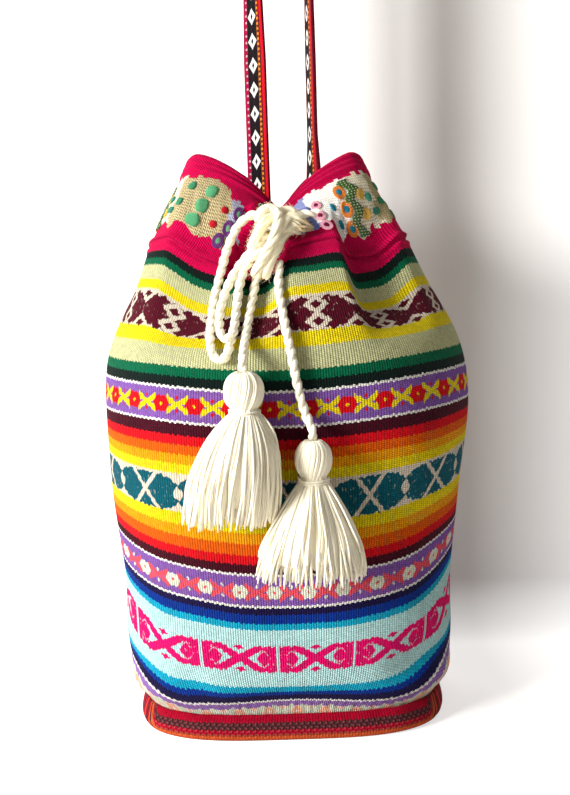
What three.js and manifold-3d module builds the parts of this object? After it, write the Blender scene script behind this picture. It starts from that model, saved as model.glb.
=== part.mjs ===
// Drawstring bucket bag of striped hand-woven cloth, standing on its base with the shoulder strap held up.
// Millimetres, +Z up, the front with the bow and tassels faces -Y. The origin is on the ground under the base.
import * as THREE from "three";
import { mergeVertices } from "three/addons/utils/BufferGeometryUtils.js";
import Module from "manifold-3d";

const wasm = await Module();
wasm.setup();

// Cloth and clearances
const CLOTH = 2; // woven wall
const HEM_EXTRA = 1.6; // second layer where the rim is folded in
const HEM_DEPTH = 10;
const GAP = 0.3; // clearance between pieces that are sewn or rest together

// Base: a band of striped cloth round a flat panel
const BASE_WIDTH = 206;
const BASE_DEPTH = 142;
const BASE_SQUARENESS = 3.4; // superellipse exponent: 2 is an ellipse, more is boxier
const BAND_HEIGHT = 17;
const BAND_LEAN = 3; // the band leans in towards the seam at its top
const BAND_ROUND = 5; // its lower edge curls under
const PANEL_THICKNESS = 3;
const SEAM_ALLOWANCE = 9; // how far the body reaches down inside the band

// Body: widths and depths of the filled tube of cloth, from the seam up
const BULGE_HEIGHT = 46;
const BULGE_WIDTH = 216;
const BULGE_DEPTH = 160;
const WAIST_HEIGHT = 100;
const WAIST_WIDTH = 221;
const WAIST_DEPTH = 173;
const BELLY_HEIGHT = 215;
const BELLY_WIDTH = 241;
const BELLY_DEPTH = 190;
const SHOULDER_HEIGHT = 245;
const SHOULDER_WIDTH = 234;
const SHOULDER_DEPTH = 184;
const GATHER_HEIGHT = 288;
const GATHER_WIDTH = 199;
const GATHER_DEPTH = 161;
const NECK_HEIGHT = 323;
const NECK_WIDTH = 176;
const NECK_DEPTH = 143;
const RIM_HEIGHT = 368;
const RIM_WIDTH = 132;
const RIM_DEPTH = 113;

// Gathers: each fold sinks into the wall and pulls the rim down in a V between two flaps
const FOLDS = [
  { at: 5, half: 50, depth: 20, drop: 33 }, // front, under the bow
  { at: 100, half: 48, depth: 14, drop: 33 },
  { at: 178, half: 34, depth: 14, drop: 30 }, // back, between the strap ends
  { at: -100, half: 50, depth: 14, drop: 31 },
];
const FOLDS_FROM = SHOULDER_HEIGHT - 7;
const FOLD_TIP = 0.12; // rounding of a fold's sharp line, as a share of its half width
const FOLD_CURVE = 1.5; // more makes the rim steeper near the fold's line
const FOLD_PULL = 3; // more keeps the pull closer to the rim
// Sagging creases between the shoulder and the rim that fade out at both ends
const CREASES = [
  { at: 46.5, half: 17, depth: 9, drop: 13 },
  { at: -24, half: 31, depth: 6, drop: 14 }, // under the bow
  { at: 140, half: 19, depth: 8, drop: 9 },
  { at: -142, half: 20, depth: 8, drop: 10 },
];
const CREASES_FROM = SHOULDER_HEIGHT;
const CREASES_FULL = [SHOULDER_HEIGHT + 45, RIM_HEIGHT - 50];
const CREASES_TO = RIM_HEIGHT - 16;

// Drawstring: a twisted wool cord in a tunnel inside the mouth, tied in a bow at the front
const CORD = 5.5;
const CORD_BELOW_RIM = 30;
const TUNNEL_HEIGHT = 19;
const TUNNEL_CLOTH = 1.2;
const SLIT_ANGLE = 16; // each side of the front fold
const SLIT_PLAY = 1; // the slits are wider than the cord

// Bow and tails: across and up from the mouth's front fold, then cord widths off the cloth
const KNOT_TOP = [4, 2, 1.9];
const KNOT_FOOT = [-14, -18, 2.7];
const LONG_LOOP = [
  [-8, 3, 2], [-17, 7, 1.6], [-26.5, 2, 1.1], [-33.5, -10, 0.8], [-39, -27, 0.65], [-43, -42, 0.65], [-45, -58, 0.85],
  [-44, -69.5, 0.85], [-39.5, -76.5, 0.85], [-34, -70, 0.85], [-30.5, -56, 0.85], [-29, -42, 0.75], [-26, -24, 1.1],
  [-13, -11, 1.9],
];
const SHORT_LOOP = [
  [-10, -5, 2.2], [-25, -20, 1.9], [-34, -34, 1.75], [-38.5, -46, 1.75], [-38, -58.5, 1.7], [-35, -64.5, 1.7],
  [-31.5, -58, 1.75], [-29.5, -46.5, 1.8], [-27.5, -35, 1.9], [-23, -23, 2.1], [-13, -13, 2.2],
];
const LEFT_TAIL = [[-16.5, -25, 1.5], [-20.5, -43.5, 1], [-24, -61, 0.85]];
const LEFT_TASSEL = [-26, -83];
const RIGHT_TAIL = [[-3.5, -20.8, 1.5], [-4.5, -36, 0.9], [-2, -55, 0.72], [1, -72, 0.7], [5, -95, 0.7], [8, -107, 0.8]];
const RIGHT_TASSEL = [12, -123];

// Tassels on the cord's two ends
const TASSEL_HEAD = 23;
const TASSEL_NECK = 15;
const TASSEL_HEAD_LENGTH = 23;
const TASSEL_LENGTH = 88;
const TASSEL_SKIRT = 55;
const TASSEL_FLATNESS = 0.6; // depth over width of the skirt at its ends
const TASSEL_TIE = 2.2; // yarn wound round the neck
const TASSEL_RIDGES = 12; // bunches of yarn round the skirt
const LEFT_LEAN = -10; // how far the skirt's end has slipped sideways on the belly
const RIGHT_LEAN = -2;

// Shoulder strap: one woven band, both ends sewn inside the back of the mouth
const STRAP_WIDTH = 20;
const STRAP_THICKNESS = 1.8;
const STRAP_SPREAD = 38; // between the two legs
const STRAP_MIDDLE = 7; // the legs stand this far right of the middle
const STRAP_BACK = 34; // the legs stand this far behind the middle
const STRAP_TOP = 610;
const STRAP_SEWN = 20; // length sewn to the back at each end
const STRAP_BELOW_TUNNEL = 7;
const STRAP_TURN = [43, 66]; // how far the left and the right leg are turned at the rim

const SEGMENTS = 56;
const CORD_SIDES = 8;

const radians = THREE.MathUtils.degToRad;
const { lerp, smoothstep } = THREE.MathUtils;

// Body heights with half width, half depth and squareness, joined by one smooth curve
const LOWER_EDGE = BAND_HEIGHT - SEAM_ALLOWANCE;
const SEAM_TOP = BAND_HEIGHT + 1;
const SEAM_WIDTH = BASE_WIDTH - 2 * (BAND_LEAN + CLOTH + GAP);
const SEAM_DEPTH = BASE_DEPTH - 2 * (BAND_LEAN + CLOTH + GAP);
const PROFILE = [
  [LOWER_EDGE, SEAM_WIDTH, SEAM_DEPTH, BASE_SQUARENESS],
  [SEAM_TOP, SEAM_WIDTH, SEAM_DEPTH, BASE_SQUARENESS],
  [BULGE_HEIGHT, BULGE_WIDTH, BULGE_DEPTH, 2.9],
  [WAIST_HEIGHT, WAIST_WIDTH, WAIST_DEPTH, 2.6],
  [BELLY_HEIGHT, BELLY_WIDTH, BELLY_DEPTH, 2.3],
  [SHOULDER_HEIGHT, SHOULDER_WIDTH, SHOULDER_DEPTH, 2.2],
  [GATHER_HEIGHT, GATHER_WIDTH, GATHER_DEPTH, 2.1],
  [NECK_HEIGHT, NECK_WIDTH, NECK_DEPTH, 2.05],
  [RIM_HEIGHT, RIM_WIDTH, RIM_DEPTH, 2],
];
const profile = new THREE.CubicInterpolant(
  PROFILE.map((knot) => knot[0]),
  PROFILE.flatMap((knot) => knot.slice(1)),
  3,
);

function superRadius(phi, width, depth, squareness) {
  const across = Math.abs(Math.sin(phi)) / (width / 2);
  const along = Math.abs(Math.cos(phi)) / (depth / 2);
  return (across ** squareness + along ** squareness) ** (-1 / squareness);
}

// Angle between a direction and a fold, as a share of the fold's half width
function foldShare(phi, fold) {
  const away = THREE.MathUtils.euclideanModulo(phi - radians(fold.at) + Math.PI, 2 * Math.PI) - Math.PI;
  return Math.min(1, Math.abs(away) / radians(fold.half));
}

const groove = (share) => 0.5 + 0.5 * Math.cos(Math.PI * share);
const blunt = (share) => Math.hypot(share, FOLD_TIP) - FOLD_TIP;
const pleat = (share) => 1 - blunt(share) / blunt(1);

// Point of the body's outer face. phi runs from the front towards +X, height is the cloth's own level.
function bagPoint(phi, height) {
  let radius = superRadius(phi, ...profile.evaluate(height));
  let z = height;
  const gathered = smoothstep(height, FOLDS_FROM, RIM_HEIGHT);
  const pulled = Math.max(0, (height - FOLDS_FROM) / (RIM_HEIGHT - FOLDS_FROM)) ** FOLD_PULL;
  for (const fold of FOLDS) {
    const share = foldShare(phi, fold);
    radius -= fold.depth * gathered * lerp(groove(share), pleat(share), 0.5);
    z -= fold.drop * pulled * pleat(share) ** FOLD_CURVE;
  }
  const [low, high] = CREASES_FULL;
  const creased = smoothstep(height, CREASES_FROM, low) * (1 - smoothstep(height, high, CREASES_TO));
  for (const crease of CREASES) {
    const sag = creased * groove(foldShare(phi, crease) ** 2);
    radius -= crease.depth * sag;
    z -= crease.drop * sag;
  }
  return new THREE.Vector3(radius * Math.sin(phi), -radius * Math.cos(phi), z);
}

function outward(phi, height) {
  const turn = 0.01;
  const lift = 0.5;
  const around = bagPoint(phi + turn, height).sub(bagPoint(phi - turn, height));
  const up = bagPoint(phi, height + lift).sub(bagPoint(phi, height - lift));
  return around.cross(up).normalize();
}

// The same point moved into the bag, square to the cloth
function bagInside(phi, height, inward) {
  return bagPoint(phi, height).addScaledVector(outward(phi, height), -inward);
}

// Value in a range where a rising function reaches its target
function solve(low, high, target, value) {
  for (let i = 0; i < 40; i++) {
    const middle = (low + high) / 2;
    if (value(middle) < target) low = middle;
    else high = middle;
  }
  return (low + high) / 2;
}

// Front and back of the body at a place across and up
function frontFace(x, z, middle = 0) {
  const side = Math.cos(middle);
  const level = (phi) => solve(LOWER_EDGE, RIM_HEIGHT, z, (height) => bagPoint(phi, height).z);
  const across = (phi) => side * bagPoint(phi, level(phi)).x;
  const phi = solve(middle - radians(75), middle + radians(75), side * x, across);
  return bagPoint(phi, level(phi)).y;
}

const backFace = (x, z) => frontFace(x, z, Math.PI);

// Height at the back, at a place across, of the cloth's own level
function backLevel(x, height) {
  const phi = solve(Math.PI / 2, 1.5 * Math.PI, -x, (angle) => -bagPoint(angle, height).x);
  return bagPoint(phi, height).z;
}

// Rings of equal length joined into one closed surface
function loft(rings, ends) {
  const count = rings[0].length;
  const position = rings.flat().flatMap((p) => [p.x, p.y, p.z]);
  const index = [];
  const joined = ends === "joined" ? rings.length : rings.length - 1;
  for (let i = 0; i < joined; i++) {
    const low = i * count;
    const high = ((i + 1) % rings.length) * count;
    for (let j = 0; j < count; j++) {
      const k = (j + 1) % count;
      index.push(low + j, low + k, high + k, low + j, high + k, high + j);
    }
  }
  if (ends === "capped") {
    const last = (rings.length - 1) * count;
    for (let j = 1; j < count - 1; j++) {
      index.push(0, j + 1, j);
      index.push(last, last + j, last + j + 1);
    }
  }
  const geometry = new THREE.BufferGeometry();
  geometry.setAttribute("position", new THREE.Float32BufferAttribute(position, 3));
  geometry.setIndex(index);
  return geometry;
}

function ring(point, count = SEGMENTS) {
  return Array.from({ length: count }, (_, i) => point((i / count) * 2 * Math.PI));
}

function solid(geometry) {
  const bare = geometry.clone();
  bare.deleteAttribute("normal");
  bare.deleteAttribute("uv");
  const merged = mergeVertices(bare, 1e-4);
  return new wasm.Manifold(
    new wasm.Mesh({
      numProp: 3,
      vertProperties: merged.attributes.position.array,
      triVerts: new Uint32Array(merged.index.array),
    }),
  );
}

function geometryOf(manifold) {
  const mesh = manifold.getMesh();
  const geometry = new THREE.BufferGeometry();
  geometry.setAttribute("position", new THREE.BufferAttribute(mesh.vertProperties, 3));
  geometry.setIndex(new THREE.BufferAttribute(mesh.triVerts, 1));
  return geometry;
}

function fabric(colour, roughness = 0.9) {
  return new THREE.MeshStandardMaterial({ color: colour, roughness, metalness: 0 });
}

const bag = new THREE.Group();

function add(name, geometry, material) {
  const mesh = new THREE.Mesh(geometry, material);
  mesh.name = name;
  bag.add(mesh);
}

// A round tube along a smooth curve through the given points
function cordTube(points, diameter, steps) {
  const section = new THREE.Shape(
    ring((angle) => new THREE.Vector2(Math.cos(angle), Math.sin(angle)).multiplyScalar(diameter / 2), CORD_SIDES),
  );
  const extrudePath = new THREE.CatmullRomCurve3(points);
  return new THREE.ExtrudeGeometry(section, { steps, extrudePath, bevelEnabled: false });
}

// Base band: stands on its curled lower edge and leans in to the seam
function baseBand() {
  const face = (inset, z) =>
    ring((phi) => {
      const radius = superRadius(phi, BASE_WIDTH - 2 * inset, BASE_DEPTH - 2 * inset, BASE_SQUARENESS);
      return new THREE.Vector3(radius * Math.sin(phi), -radius * Math.cos(phi), z);
    });
  const outer = [
    face(BAND_ROUND, 0),
    face(BAND_ROUND * 0.3, BAND_ROUND * 0.3),
    face(0, BAND_ROUND),
    face(BAND_LEAN, BAND_HEIGHT),
  ];
  const inner = [
    face(BAND_LEAN + CLOTH, BAND_HEIGHT),
    face(BAND_LEAN + CLOTH, LOWER_EDGE - GAP),
    face(BAND_ROUND + CLOTH, LOWER_EDGE - GAP - CLOTH),
    face(BAND_ROUND + CLOTH, 0),
  ];
  return loft([...outer, ...inner], "joined");
}

function basePanel() {
  const inset = BAND_ROUND + CLOTH + GAP;
  const outline = ring((phi) => {
    const radius = superRadius(phi, BASE_WIDTH - 2 * inset, BASE_DEPTH - 2 * inset, BASE_SQUARENESS);
    return new THREE.Vector2(radius * Math.sin(phi), -radius * Math.cos(phi));
  });
  return new THREE.ExtrudeGeometry(new THREE.Shape(outline), { depth: PANEL_THICKNESS, bevelEnabled: false });
}

// Levels of the body's rings, closer together where the cloth bends
const between = (low, high, ...shares) => shares.map((share) => lerp(low, high, share));
const HEM_EDGE = RIM_HEIGHT - HEM_DEPTH;
const CORD_LEVEL = RIM_HEIGHT - CORD_BELOW_RIM;
const TUNNEL_FOOT = CORD_LEVEL - TUNNEL_HEIGHT / 2;
const TUNNEL_HEAD = CORD_LEVEL + TUNNEL_HEIGHT / 2;
const BODY_LEVELS = [
  LOWER_EDGE,
  ...between(SEAM_TOP, BULGE_HEIGHT, 0, 0.3, 0.6),
  ...between(BULGE_HEIGHT, WAIST_HEIGHT, 0, 0.3),
  ...between(WAIST_HEIGHT, BELLY_HEIGHT, 0, 0.5),
  ...between(BELLY_HEIGHT, SHOULDER_HEIGHT, 0, 0.5),
  ...between(SHOULDER_HEIGHT, GATHER_HEIGHT, 0, 0.33, 0.67),
  ...between(GATHER_HEIGHT, TUNNEL_FOOT, 0, 0.35, 0.7),
  ...between(TUNNEL_FOOT, TUNNEL_HEAD, 0, 0.5, 1),
];

// Body: one tube of cloth, open at the seam and at the mouth, with the rim folded in as a hem
function bodyShell() {
  const outer = [...BODY_LEVELS, HEM_EDGE, RIM_HEIGHT].map((height) => ring((phi) => bagPoint(phi, height)));
  const hem = [RIM_HEIGHT, HEM_EDGE + 0.5].map((height) =>
    ring((phi) => bagInside(phi, height, CLOTH + HEM_EXTRA)),
  );
  const inner = [HEM_EDGE, ...BODY_LEVELS.toReversed()].map((height) =>
    ring((phi) => bagInside(phi, height, CLOTH)),
  );
  return loft([...outer, ...hem, ...inner], "joined");
}

// Places on the front, measured from the mouth's front fold where the cord comes out
const FRONT_FOLD = FOLDS[0].at;
const mouth = bagPoint(radians(FRONT_FOLD), CORD_LEVEL);

function onFront([across, up, widths]) {
  const x = mouth.x + across;
  const z = mouth.z + up;
  return new THREE.Vector3(x, frontFace(x, z) - widths * CORD, z);
}

// Knot: a short thick core with the cord wound twice round it
const KNOT_RADIUS = CORD * 0.85;
const knotTop = onFront(KNOT_TOP);
const knotFoot = onFront(KNOT_FOOT);

function knotSolids() {
  const length = knotTop.distanceTo(knotFoot);
  const along = knotTop.clone().sub(knotFoot).normalize();
  const turn = new THREE.Quaternion().setFromUnitVectors(new THREE.Vector3(0, 1, 0), along);
  const middle = knotFoot.clone().lerp(knotTop, 0.5);
  const core = new THREE.CapsuleGeometry(KNOT_RADIUS, length, 2, 10);
  const turns = [-0.2, 0.2].map((share) =>
    new THREE.TorusGeometry(KNOT_RADIUS + CORD * 0.15, CORD / 2, 6, 12)
      .rotateX(Math.PI / 2)
      .translate(0, share * length, 0),
  );
  return [core, ...turns].map((geometry) =>
    solid(geometry.applyQuaternion(turn).translate(...middle.toArray())),
  );
}

// Drawstring run: from the knot, in at one slit, round the mouth inside the tunnel and out at the other slit
const CORD_INSET = CLOTH + 4 * GAP + CORD / 2;
const RUN_STEPS = 30;
const TUNNEL_ROOM = CORD + 6 * GAP; // the cord lies in it with play on both sides

function slitRoute(side) {
  const at = (angle, inward) => bagInside(radians(FRONT_FOLD + side * angle), CORD_LEVEL, inward);
  return [
    at(SLIT_ANGLE * 0.5, -CORD * 1.1),
    at(SLIT_ANGLE, -CORD * 0.3),
    at(SLIT_ANGLE * 1.4, CORD * 0.45),
    at(SLIT_ANGLE * 2, CORD_INSET),
  ];
}

function drawstringRun() {
  const reach = SLIT_ANGLE * 2.7;
  const inside = Array.from({ length: RUN_STEPS }, (_, i) => {
    const angle = FRONT_FOLD + lerp(reach, 360 - reach, i / (RUN_STEPS - 1));
    return bagInside(radians(angle), CORD_LEVEL, CORD_INSET);
  });
  const right = [knotTop, ...slitRoute(1)];
  const left = [...slitRoute(-1).toReversed(), knotTop.clone().lerp(knotFoot, 0.4)];
  return cordTube([...right, ...inside, ...left], CORD, 56);
}

// The whole cord up to its two tails: run, knot and both loops of the bow
function drawstring() {
  const loops = [LONG_LOOP, SHORT_LOOP].map((loop) => solid(cordTube(loop.map(onFront), CORD, 22)));
  return wasm.Manifold.union([solid(drawstringRun()), ...knotSolids(), ...loops]);
}

// Tunnel strip: sewn inside the mouth along both edges, bowed in between to leave room for the cord
function tunnelStrip() {
  const bowed = [[0, 0], [0.22, 1], [0.78, 1], [1, 0]];
  const face = (extra) =>
    bowed.map(([share, bow]) =>
      ring((phi) => {
        const inward = CLOTH + 1.5 * GAP + TUNNEL_ROOM * bow + extra;
        return bagInside(phi, lerp(TUNNEL_FOOT, TUNNEL_HEAD, share), inward);
      }),
    );
  return loft([...face(0), ...face(TUNNEL_CLOTH).toReversed()], "joined");
}

// Tassel: a wrapped head, a tied neck and a flared skirt, flat at the back where it lies on the belly
const TASSEL_PROFILE = [
  [0, TASSEL_HEAD * 0.28],
  [TASSEL_HEAD_LENGTH * 0.12, TASSEL_HEAD * 0.66],
  [TASSEL_HEAD_LENGTH * 0.42, TASSEL_HEAD],
  [TASSEL_HEAD_LENGTH * 0.75, TASSEL_HEAD * 0.9],
  [TASSEL_HEAD_LENGTH - TASSEL_TIE * 0.6, TASSEL_NECK],
  [TASSEL_HEAD_LENGTH + TASSEL_TIE * 0.6, TASSEL_NECK],
  [lerp(TASSEL_HEAD_LENGTH, TASSEL_LENGTH, 0.06), TASSEL_NECK * 1.25],
  [lerp(TASSEL_HEAD_LENGTH, TASSEL_LENGTH, 0.2), lerp(TASSEL_NECK, TASSEL_SKIRT, 0.35)],
  [lerp(TASSEL_HEAD_LENGTH, TASSEL_LENGTH, 0.4), lerp(TASSEL_NECK, TASSEL_SKIRT, 0.58)],
  [lerp(TASSEL_HEAD_LENGTH, TASSEL_LENGTH, 0.68), lerp(TASSEL_NECK, TASSEL_SKIRT, 0.82)],
  [TASSEL_LENGTH, TASSEL_SKIRT],
];

const TASSEL_STAND = TASSEL_NECK / 2 + GAP + TASSEL_TIE; // its axis stands this far off the belly

// Where a tassel hangs: the top of its head, above a back plane just off the belly
function tasselTop([across, up]) {
  const x = mouth.x + across;
  const z = mouth.z + up;
  const faces = between(z, z - TASSEL_LENGTH, 0, 0.25, 0.5, 0.75, 1).map((level) => frontFace(x, level));
  return new THREE.Vector3(x, Math.min(...faces) - GAP - TASSEL_STAND, z);
}

function tassel(top, lean) {
  const rings = TASSEL_PROFILE.map(([down, width]) => {
    const skirt = Math.max(0, (down - TASSEL_HEAD_LENGTH) / (TASSEL_LENGTH - TASSEL_HEAD_LENGTH));
    const depth = width * lerp(1, TASSEL_FLATNESS, skirt);
    const ridge = skirt > 0.1 ? 0.05 : 0;
    return ring((angle) => {
      const swell = 1 + ridge * (Math.cos(TASSEL_RIDGES * angle) - 1);
      const x = top.x + lean * skirt + (width / 2) * swell * Math.cos(angle);
      const y = top.y - Math.max(0, depth / 2 - TASSEL_STAND) + (depth / 2) * swell * Math.sin(angle);
      return new THREE.Vector3(x, y, top.z - down);
    }, 2 * TASSEL_RIDGES);
  });
  return loft(rings.toReversed(), "capped");
}

function tasselTie(top) {
  const radius = TASSEL_NECK / 2 + GAP + TASSEL_TIE / 2;
  return new THREE.TorusGeometry(radius, TASSEL_TIE / 2, 5, 16)
    .translate(top.x, top.y, top.z - TASSEL_HEAD_LENGTH);
}

// Tail: from its round end under the knot down to the top of its tassel's head
function tail(route, top, steps) {
  const above = [CORD, GAP].map((up) => new THREE.Vector3(top.x, top.y, top.z + up));
  const points = [...route.map(onFront), ...above];
  const end = new THREE.SphereGeometry(CORD * 0.47, CORD_SIDES, 5).translate(...points[0].toArray());
  return geometryOf(solid(cordTube(points, CORD, steps)).add(solid(end)));
}

// Strap: a flat band, sewn to the back, brought in past the tunnel, up, over the arch and down again
const STRAP_HALF = STRAP_SPREAD / 2;
const WALL_SLANT = 1.2; // the cloth leans in, so a level distance from it is longer than a square one
const TUNNEL_BACK = CLOTH + TUNNEL_ROOM + 2 * GAP + TUNNEL_CLOTH; // the tunnel's inner face, from the cloth's outer one

// Stations of one leg from its sewn end up to the arch: a place on the middle line and a turn about it
function strapLeg(side) {
  const x = STRAP_MIDDLE + side * STRAP_HALF;
  const edges = [x - STRAP_WIDTH / 2, x + STRAP_WIDTH / 2];
  const turn = radians(STRAP_TURN[side < 0 ? 0 : 1]);
  const against = (below, stand, share) => {
    const z = RIM_HEIGHT - below;
    const [low, high] = edges.map((edge) => backFace(edge, z));
    const flat = Math.atan2(low - high, STRAP_WIDTH);
    const turned = lerp(flat, turn, share);
    const swing = (STRAP_WIDTH / 2) * Math.abs(Math.sin(turned - flat));
    return { at: new THREE.Vector3(x, (low + high) / 2 - stand * WALL_SLANT - swing, z), turn: turned };
  };
  const sewnStand = CLOTH + 5 * GAP + STRAP_THICKNESS / 2;
  const inner = x - (side * STRAP_WIDTH) / 2;
  const sewnBelow = RIM_HEIGHT - backLevel(inner, TUNNEL_FOOT) + STRAP_BELOW_TUNNEL;
  const sewn = between(sewnBelow + STRAP_SEWN, sewnBelow, 0, 0.5, 1).map((below) => against(below, sewnStand, 0));
  const tunnelBelow = RIM_HEIGHT - backLevel(inner, CORD_LEVEL);
  const tunnel = [[0.65, 0.2], [0, 0.5], [-0.55, 0.8]].map(([down, share]) =>
    against(tunnelBelow + down * TUNNEL_HEIGHT, TUNNEL_BACK + STRAP_THICKNESS, share),
  );
  const straight = [0, 0.25, 0.5, 0.75, 1].map((share) => ({
    at: new THREE.Vector3(x, STRAP_BACK, lerp(RIM_HEIGHT + STRAP_WIDTH, STRAP_TOP - STRAP_HALF, share)),
    turn: lerp(turn, Math.PI / 2, smoothstep(share, 0.25, 1)),
  }));
  return [...sewn, ...tunnel, ...straight];
}

function shoulderStrap() {
  const arch = between(180, 0, 0.125, 0.25, 0.375, 0.5, 0.625, 0.75, 0.875).map((angle) => ({
    at: new THREE.Vector3(Math.cos(radians(angle)), 0, Math.sin(radians(angle)))
      .multiplyScalar(STRAP_HALF)
      .add(new THREE.Vector3(STRAP_MIDDLE, STRAP_BACK, STRAP_TOP - STRAP_HALF)),
    turn: Math.PI / 2,
  }));
  const stations = [...strapLeg(-1), ...arch, ...strapLeg(1).toReversed()];
  const rings = stations.map(({ at, turn }, i) => {
    const before = stations[Math.max(0, i - 1)].at;
    const after = stations[Math.min(stations.length - 1, i + 1)].at;
    const along = after.clone().sub(before).normalize();
    const wide = new THREE.Vector3(Math.cos(turn), -Math.sin(turn), 0);
    wide.addScaledVector(along, -wide.dot(along)).normalize().multiplyScalar(STRAP_WIDTH / 2);
    const thick = along.clone().cross(wide).normalize().multiplyScalar(STRAP_THICKNESS / 2);
    return [[1, 1], [-1, 1], [-1, -1], [1, -1]].map(([w, t]) =>
      at.clone().addScaledVector(wide, w).addScaledVector(thick, t),
    );
  });
  return loft(rings, "capped");
}

const wool = fabric(0xf1ead2, 0.95);
const wovenBody = fabric(0xd9a441);
const mouthCloth = fabric(0xc2185b);
const baseCloth = fabric(0x7a2f35);
const strapCloth = fabric(0xb3262e);

const slits = [1, -1].map((side) => solid(cordTube(slitRoute(side), CORD + SLIT_PLAY, 8)));
const body = slits.reduce((cut, slit) => cut.subtract(slit), solid(bodyShell()));
const leftTop = tasselTop(LEFT_TASSEL);
const rightTop = tasselTop(RIGHT_TASSEL);

add("base_panel", basePanel(), baseCloth);
add("base_band", baseBand(), baseCloth);
add("bag_body", geometryOf(body), wovenBody);
add("tunnel_strip", tunnelStrip(), mouthCloth);
add("drawstring", geometryOf(drawstring()), wool);
add("left_tail", tail(LEFT_TAIL, leftTop, 9), wool);
add("left_tassel", tassel(leftTop, LEFT_LEAN), wool);
add("left_tassel_tie", tasselTie(leftTop), wool);
add("right_tail", tail(RIGHT_TAIL, rightTop, 12), wool);
add("right_tassel", tassel(rightTop, RIGHT_LEAN), wool);
add("right_tassel_tie", tasselTie(rightTop), wool);
add("shoulder_strap", shoulderStrap(), strapCloth);

export default bag;
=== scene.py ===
from functools import partialmethod

import bpy
import numpy as np
from mathutils import Matrix, Vector


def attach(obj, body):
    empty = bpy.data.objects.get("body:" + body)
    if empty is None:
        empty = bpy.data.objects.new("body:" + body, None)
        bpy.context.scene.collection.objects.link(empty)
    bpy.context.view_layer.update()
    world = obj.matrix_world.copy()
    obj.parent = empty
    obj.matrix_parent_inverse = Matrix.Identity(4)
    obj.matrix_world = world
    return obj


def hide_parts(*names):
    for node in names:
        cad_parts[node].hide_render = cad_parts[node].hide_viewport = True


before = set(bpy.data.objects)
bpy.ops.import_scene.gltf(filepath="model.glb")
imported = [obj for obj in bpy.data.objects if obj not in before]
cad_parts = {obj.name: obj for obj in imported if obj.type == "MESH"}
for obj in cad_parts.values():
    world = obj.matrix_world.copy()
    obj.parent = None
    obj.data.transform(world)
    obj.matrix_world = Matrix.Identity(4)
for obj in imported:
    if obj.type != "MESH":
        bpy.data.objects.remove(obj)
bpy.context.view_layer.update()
MM = 0.001
chance = np.random.default_rng(11)

# Camera at the photograph's place
LENS = 41.16
CAMERA_PLACE = (0.0014, -0.612, 0.2914)
CAMERA_TILT = np.radians(82.5)
CAMERA_ROLL = np.radians(-1.8)
scene = bpy.context.scene
scene.view_settings.view_transform = "Standard"
camera = bpy.data.objects.new("camera", bpy.data.cameras.new("camera"))
camera.data.sensor_fit = "VERTICAL"
camera.data.sensor_height = 36
camera.data.lens = LENS
turned = Matrix.Rotation(CAMERA_TILT, 4, "X") @ Matrix.Rotation(CAMERA_ROLL, 4, "Z")
camera.matrix_world = Matrix.Translation(CAMERA_PLACE) @ turned
scene.collection.objects.link(camera)
scene.camera = camera

# Sizes of the bag in millimetres
CLOTH = 2.0
GAP = 0.3
HEM_DEPTH = 10.0
HEM_EXTRA = 1.6
LOWER_EDGE = 8.0
SEAM_TOP = 18.0
BELLY = 215.0
RIM = 368.0
PROFILE = np.array([
    [8, 195.4, 131.4, 3.4], [18, 195.4, 131.4, 3.4], [46, 216, 160, 2.9],
    [100, 221, 173, 2.6], [215, 241, 190, 2.3], [245, 234, 184, 2.2],
    [288, 199, 161, 2.1], [323, 176, 143, 2.05], [368, 132, 113, 2],
], float)
FOLDS = ((2.5, 54, 20, 34), (100, 51, 14, 33), (178, 34, 14, 30), (-100, 47, 14, 31))
FOLDS_FROM = 238.0
FOLD_TIP = 0.12
FOLD_CURVE = 1.5
FOLD_PULL = 3
CREASES = ((46.5, 17, 9, 13), (-24, 31, 6, 14), (140, 19, 8, 9), (-142, 20, 8, 10))
CREASES_FROM = 245.0
CREASES_FULL = (290.0, 318.0)
CREASES_TO = 352.0


def smoothstep(value, low, high):
    share = np.clip((value - low) / (high - low), 0, 1)
    return share * share * (3 - 2 * share)


# Width, depth and squareness of the bag at a level of its cloth
def profile(height):
    knots, values = PROFILE[:, 0], PROFILE[:, 1:]
    secants = np.diff(values, axis=0) / np.diff(knots)[:, None]
    slopes = np.concatenate([secants[:1], (secants[1:] + secants[:-1]) / 2, secants[-1:]])
    place = np.clip(np.searchsorted(knots, height, side="right") - 1, 0, len(knots) - 2)
    span = np.diff(knots)[place]
    t = ((height - knots[place]) / span)[..., None]
    span = span[..., None]
    return (
        (1 + 2 * t) * (1 - t) ** 2 * values[place]
        + t * (1 - t) ** 2 * span * slopes[place]
        + t * t * (3 - 2 * t) * values[place + 1]
        + t * t * (t - 1) * span * slopes[place + 1]
    )


def away(phi, at, half):
    turn = np.abs((phi - np.radians(at) + np.pi) % (2 * np.pi) - np.pi)
    return np.minimum(1, turn / np.radians(half))


def groove(share):
    return 0.5 + 0.5 * np.cos(np.pi * share)


def pleat(share):
    blunt = np.hypot(share, FOLD_TIP) - FOLD_TIP
    return 1 - blunt / (np.hypot(1, FOLD_TIP) - FOLD_TIP)


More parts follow.
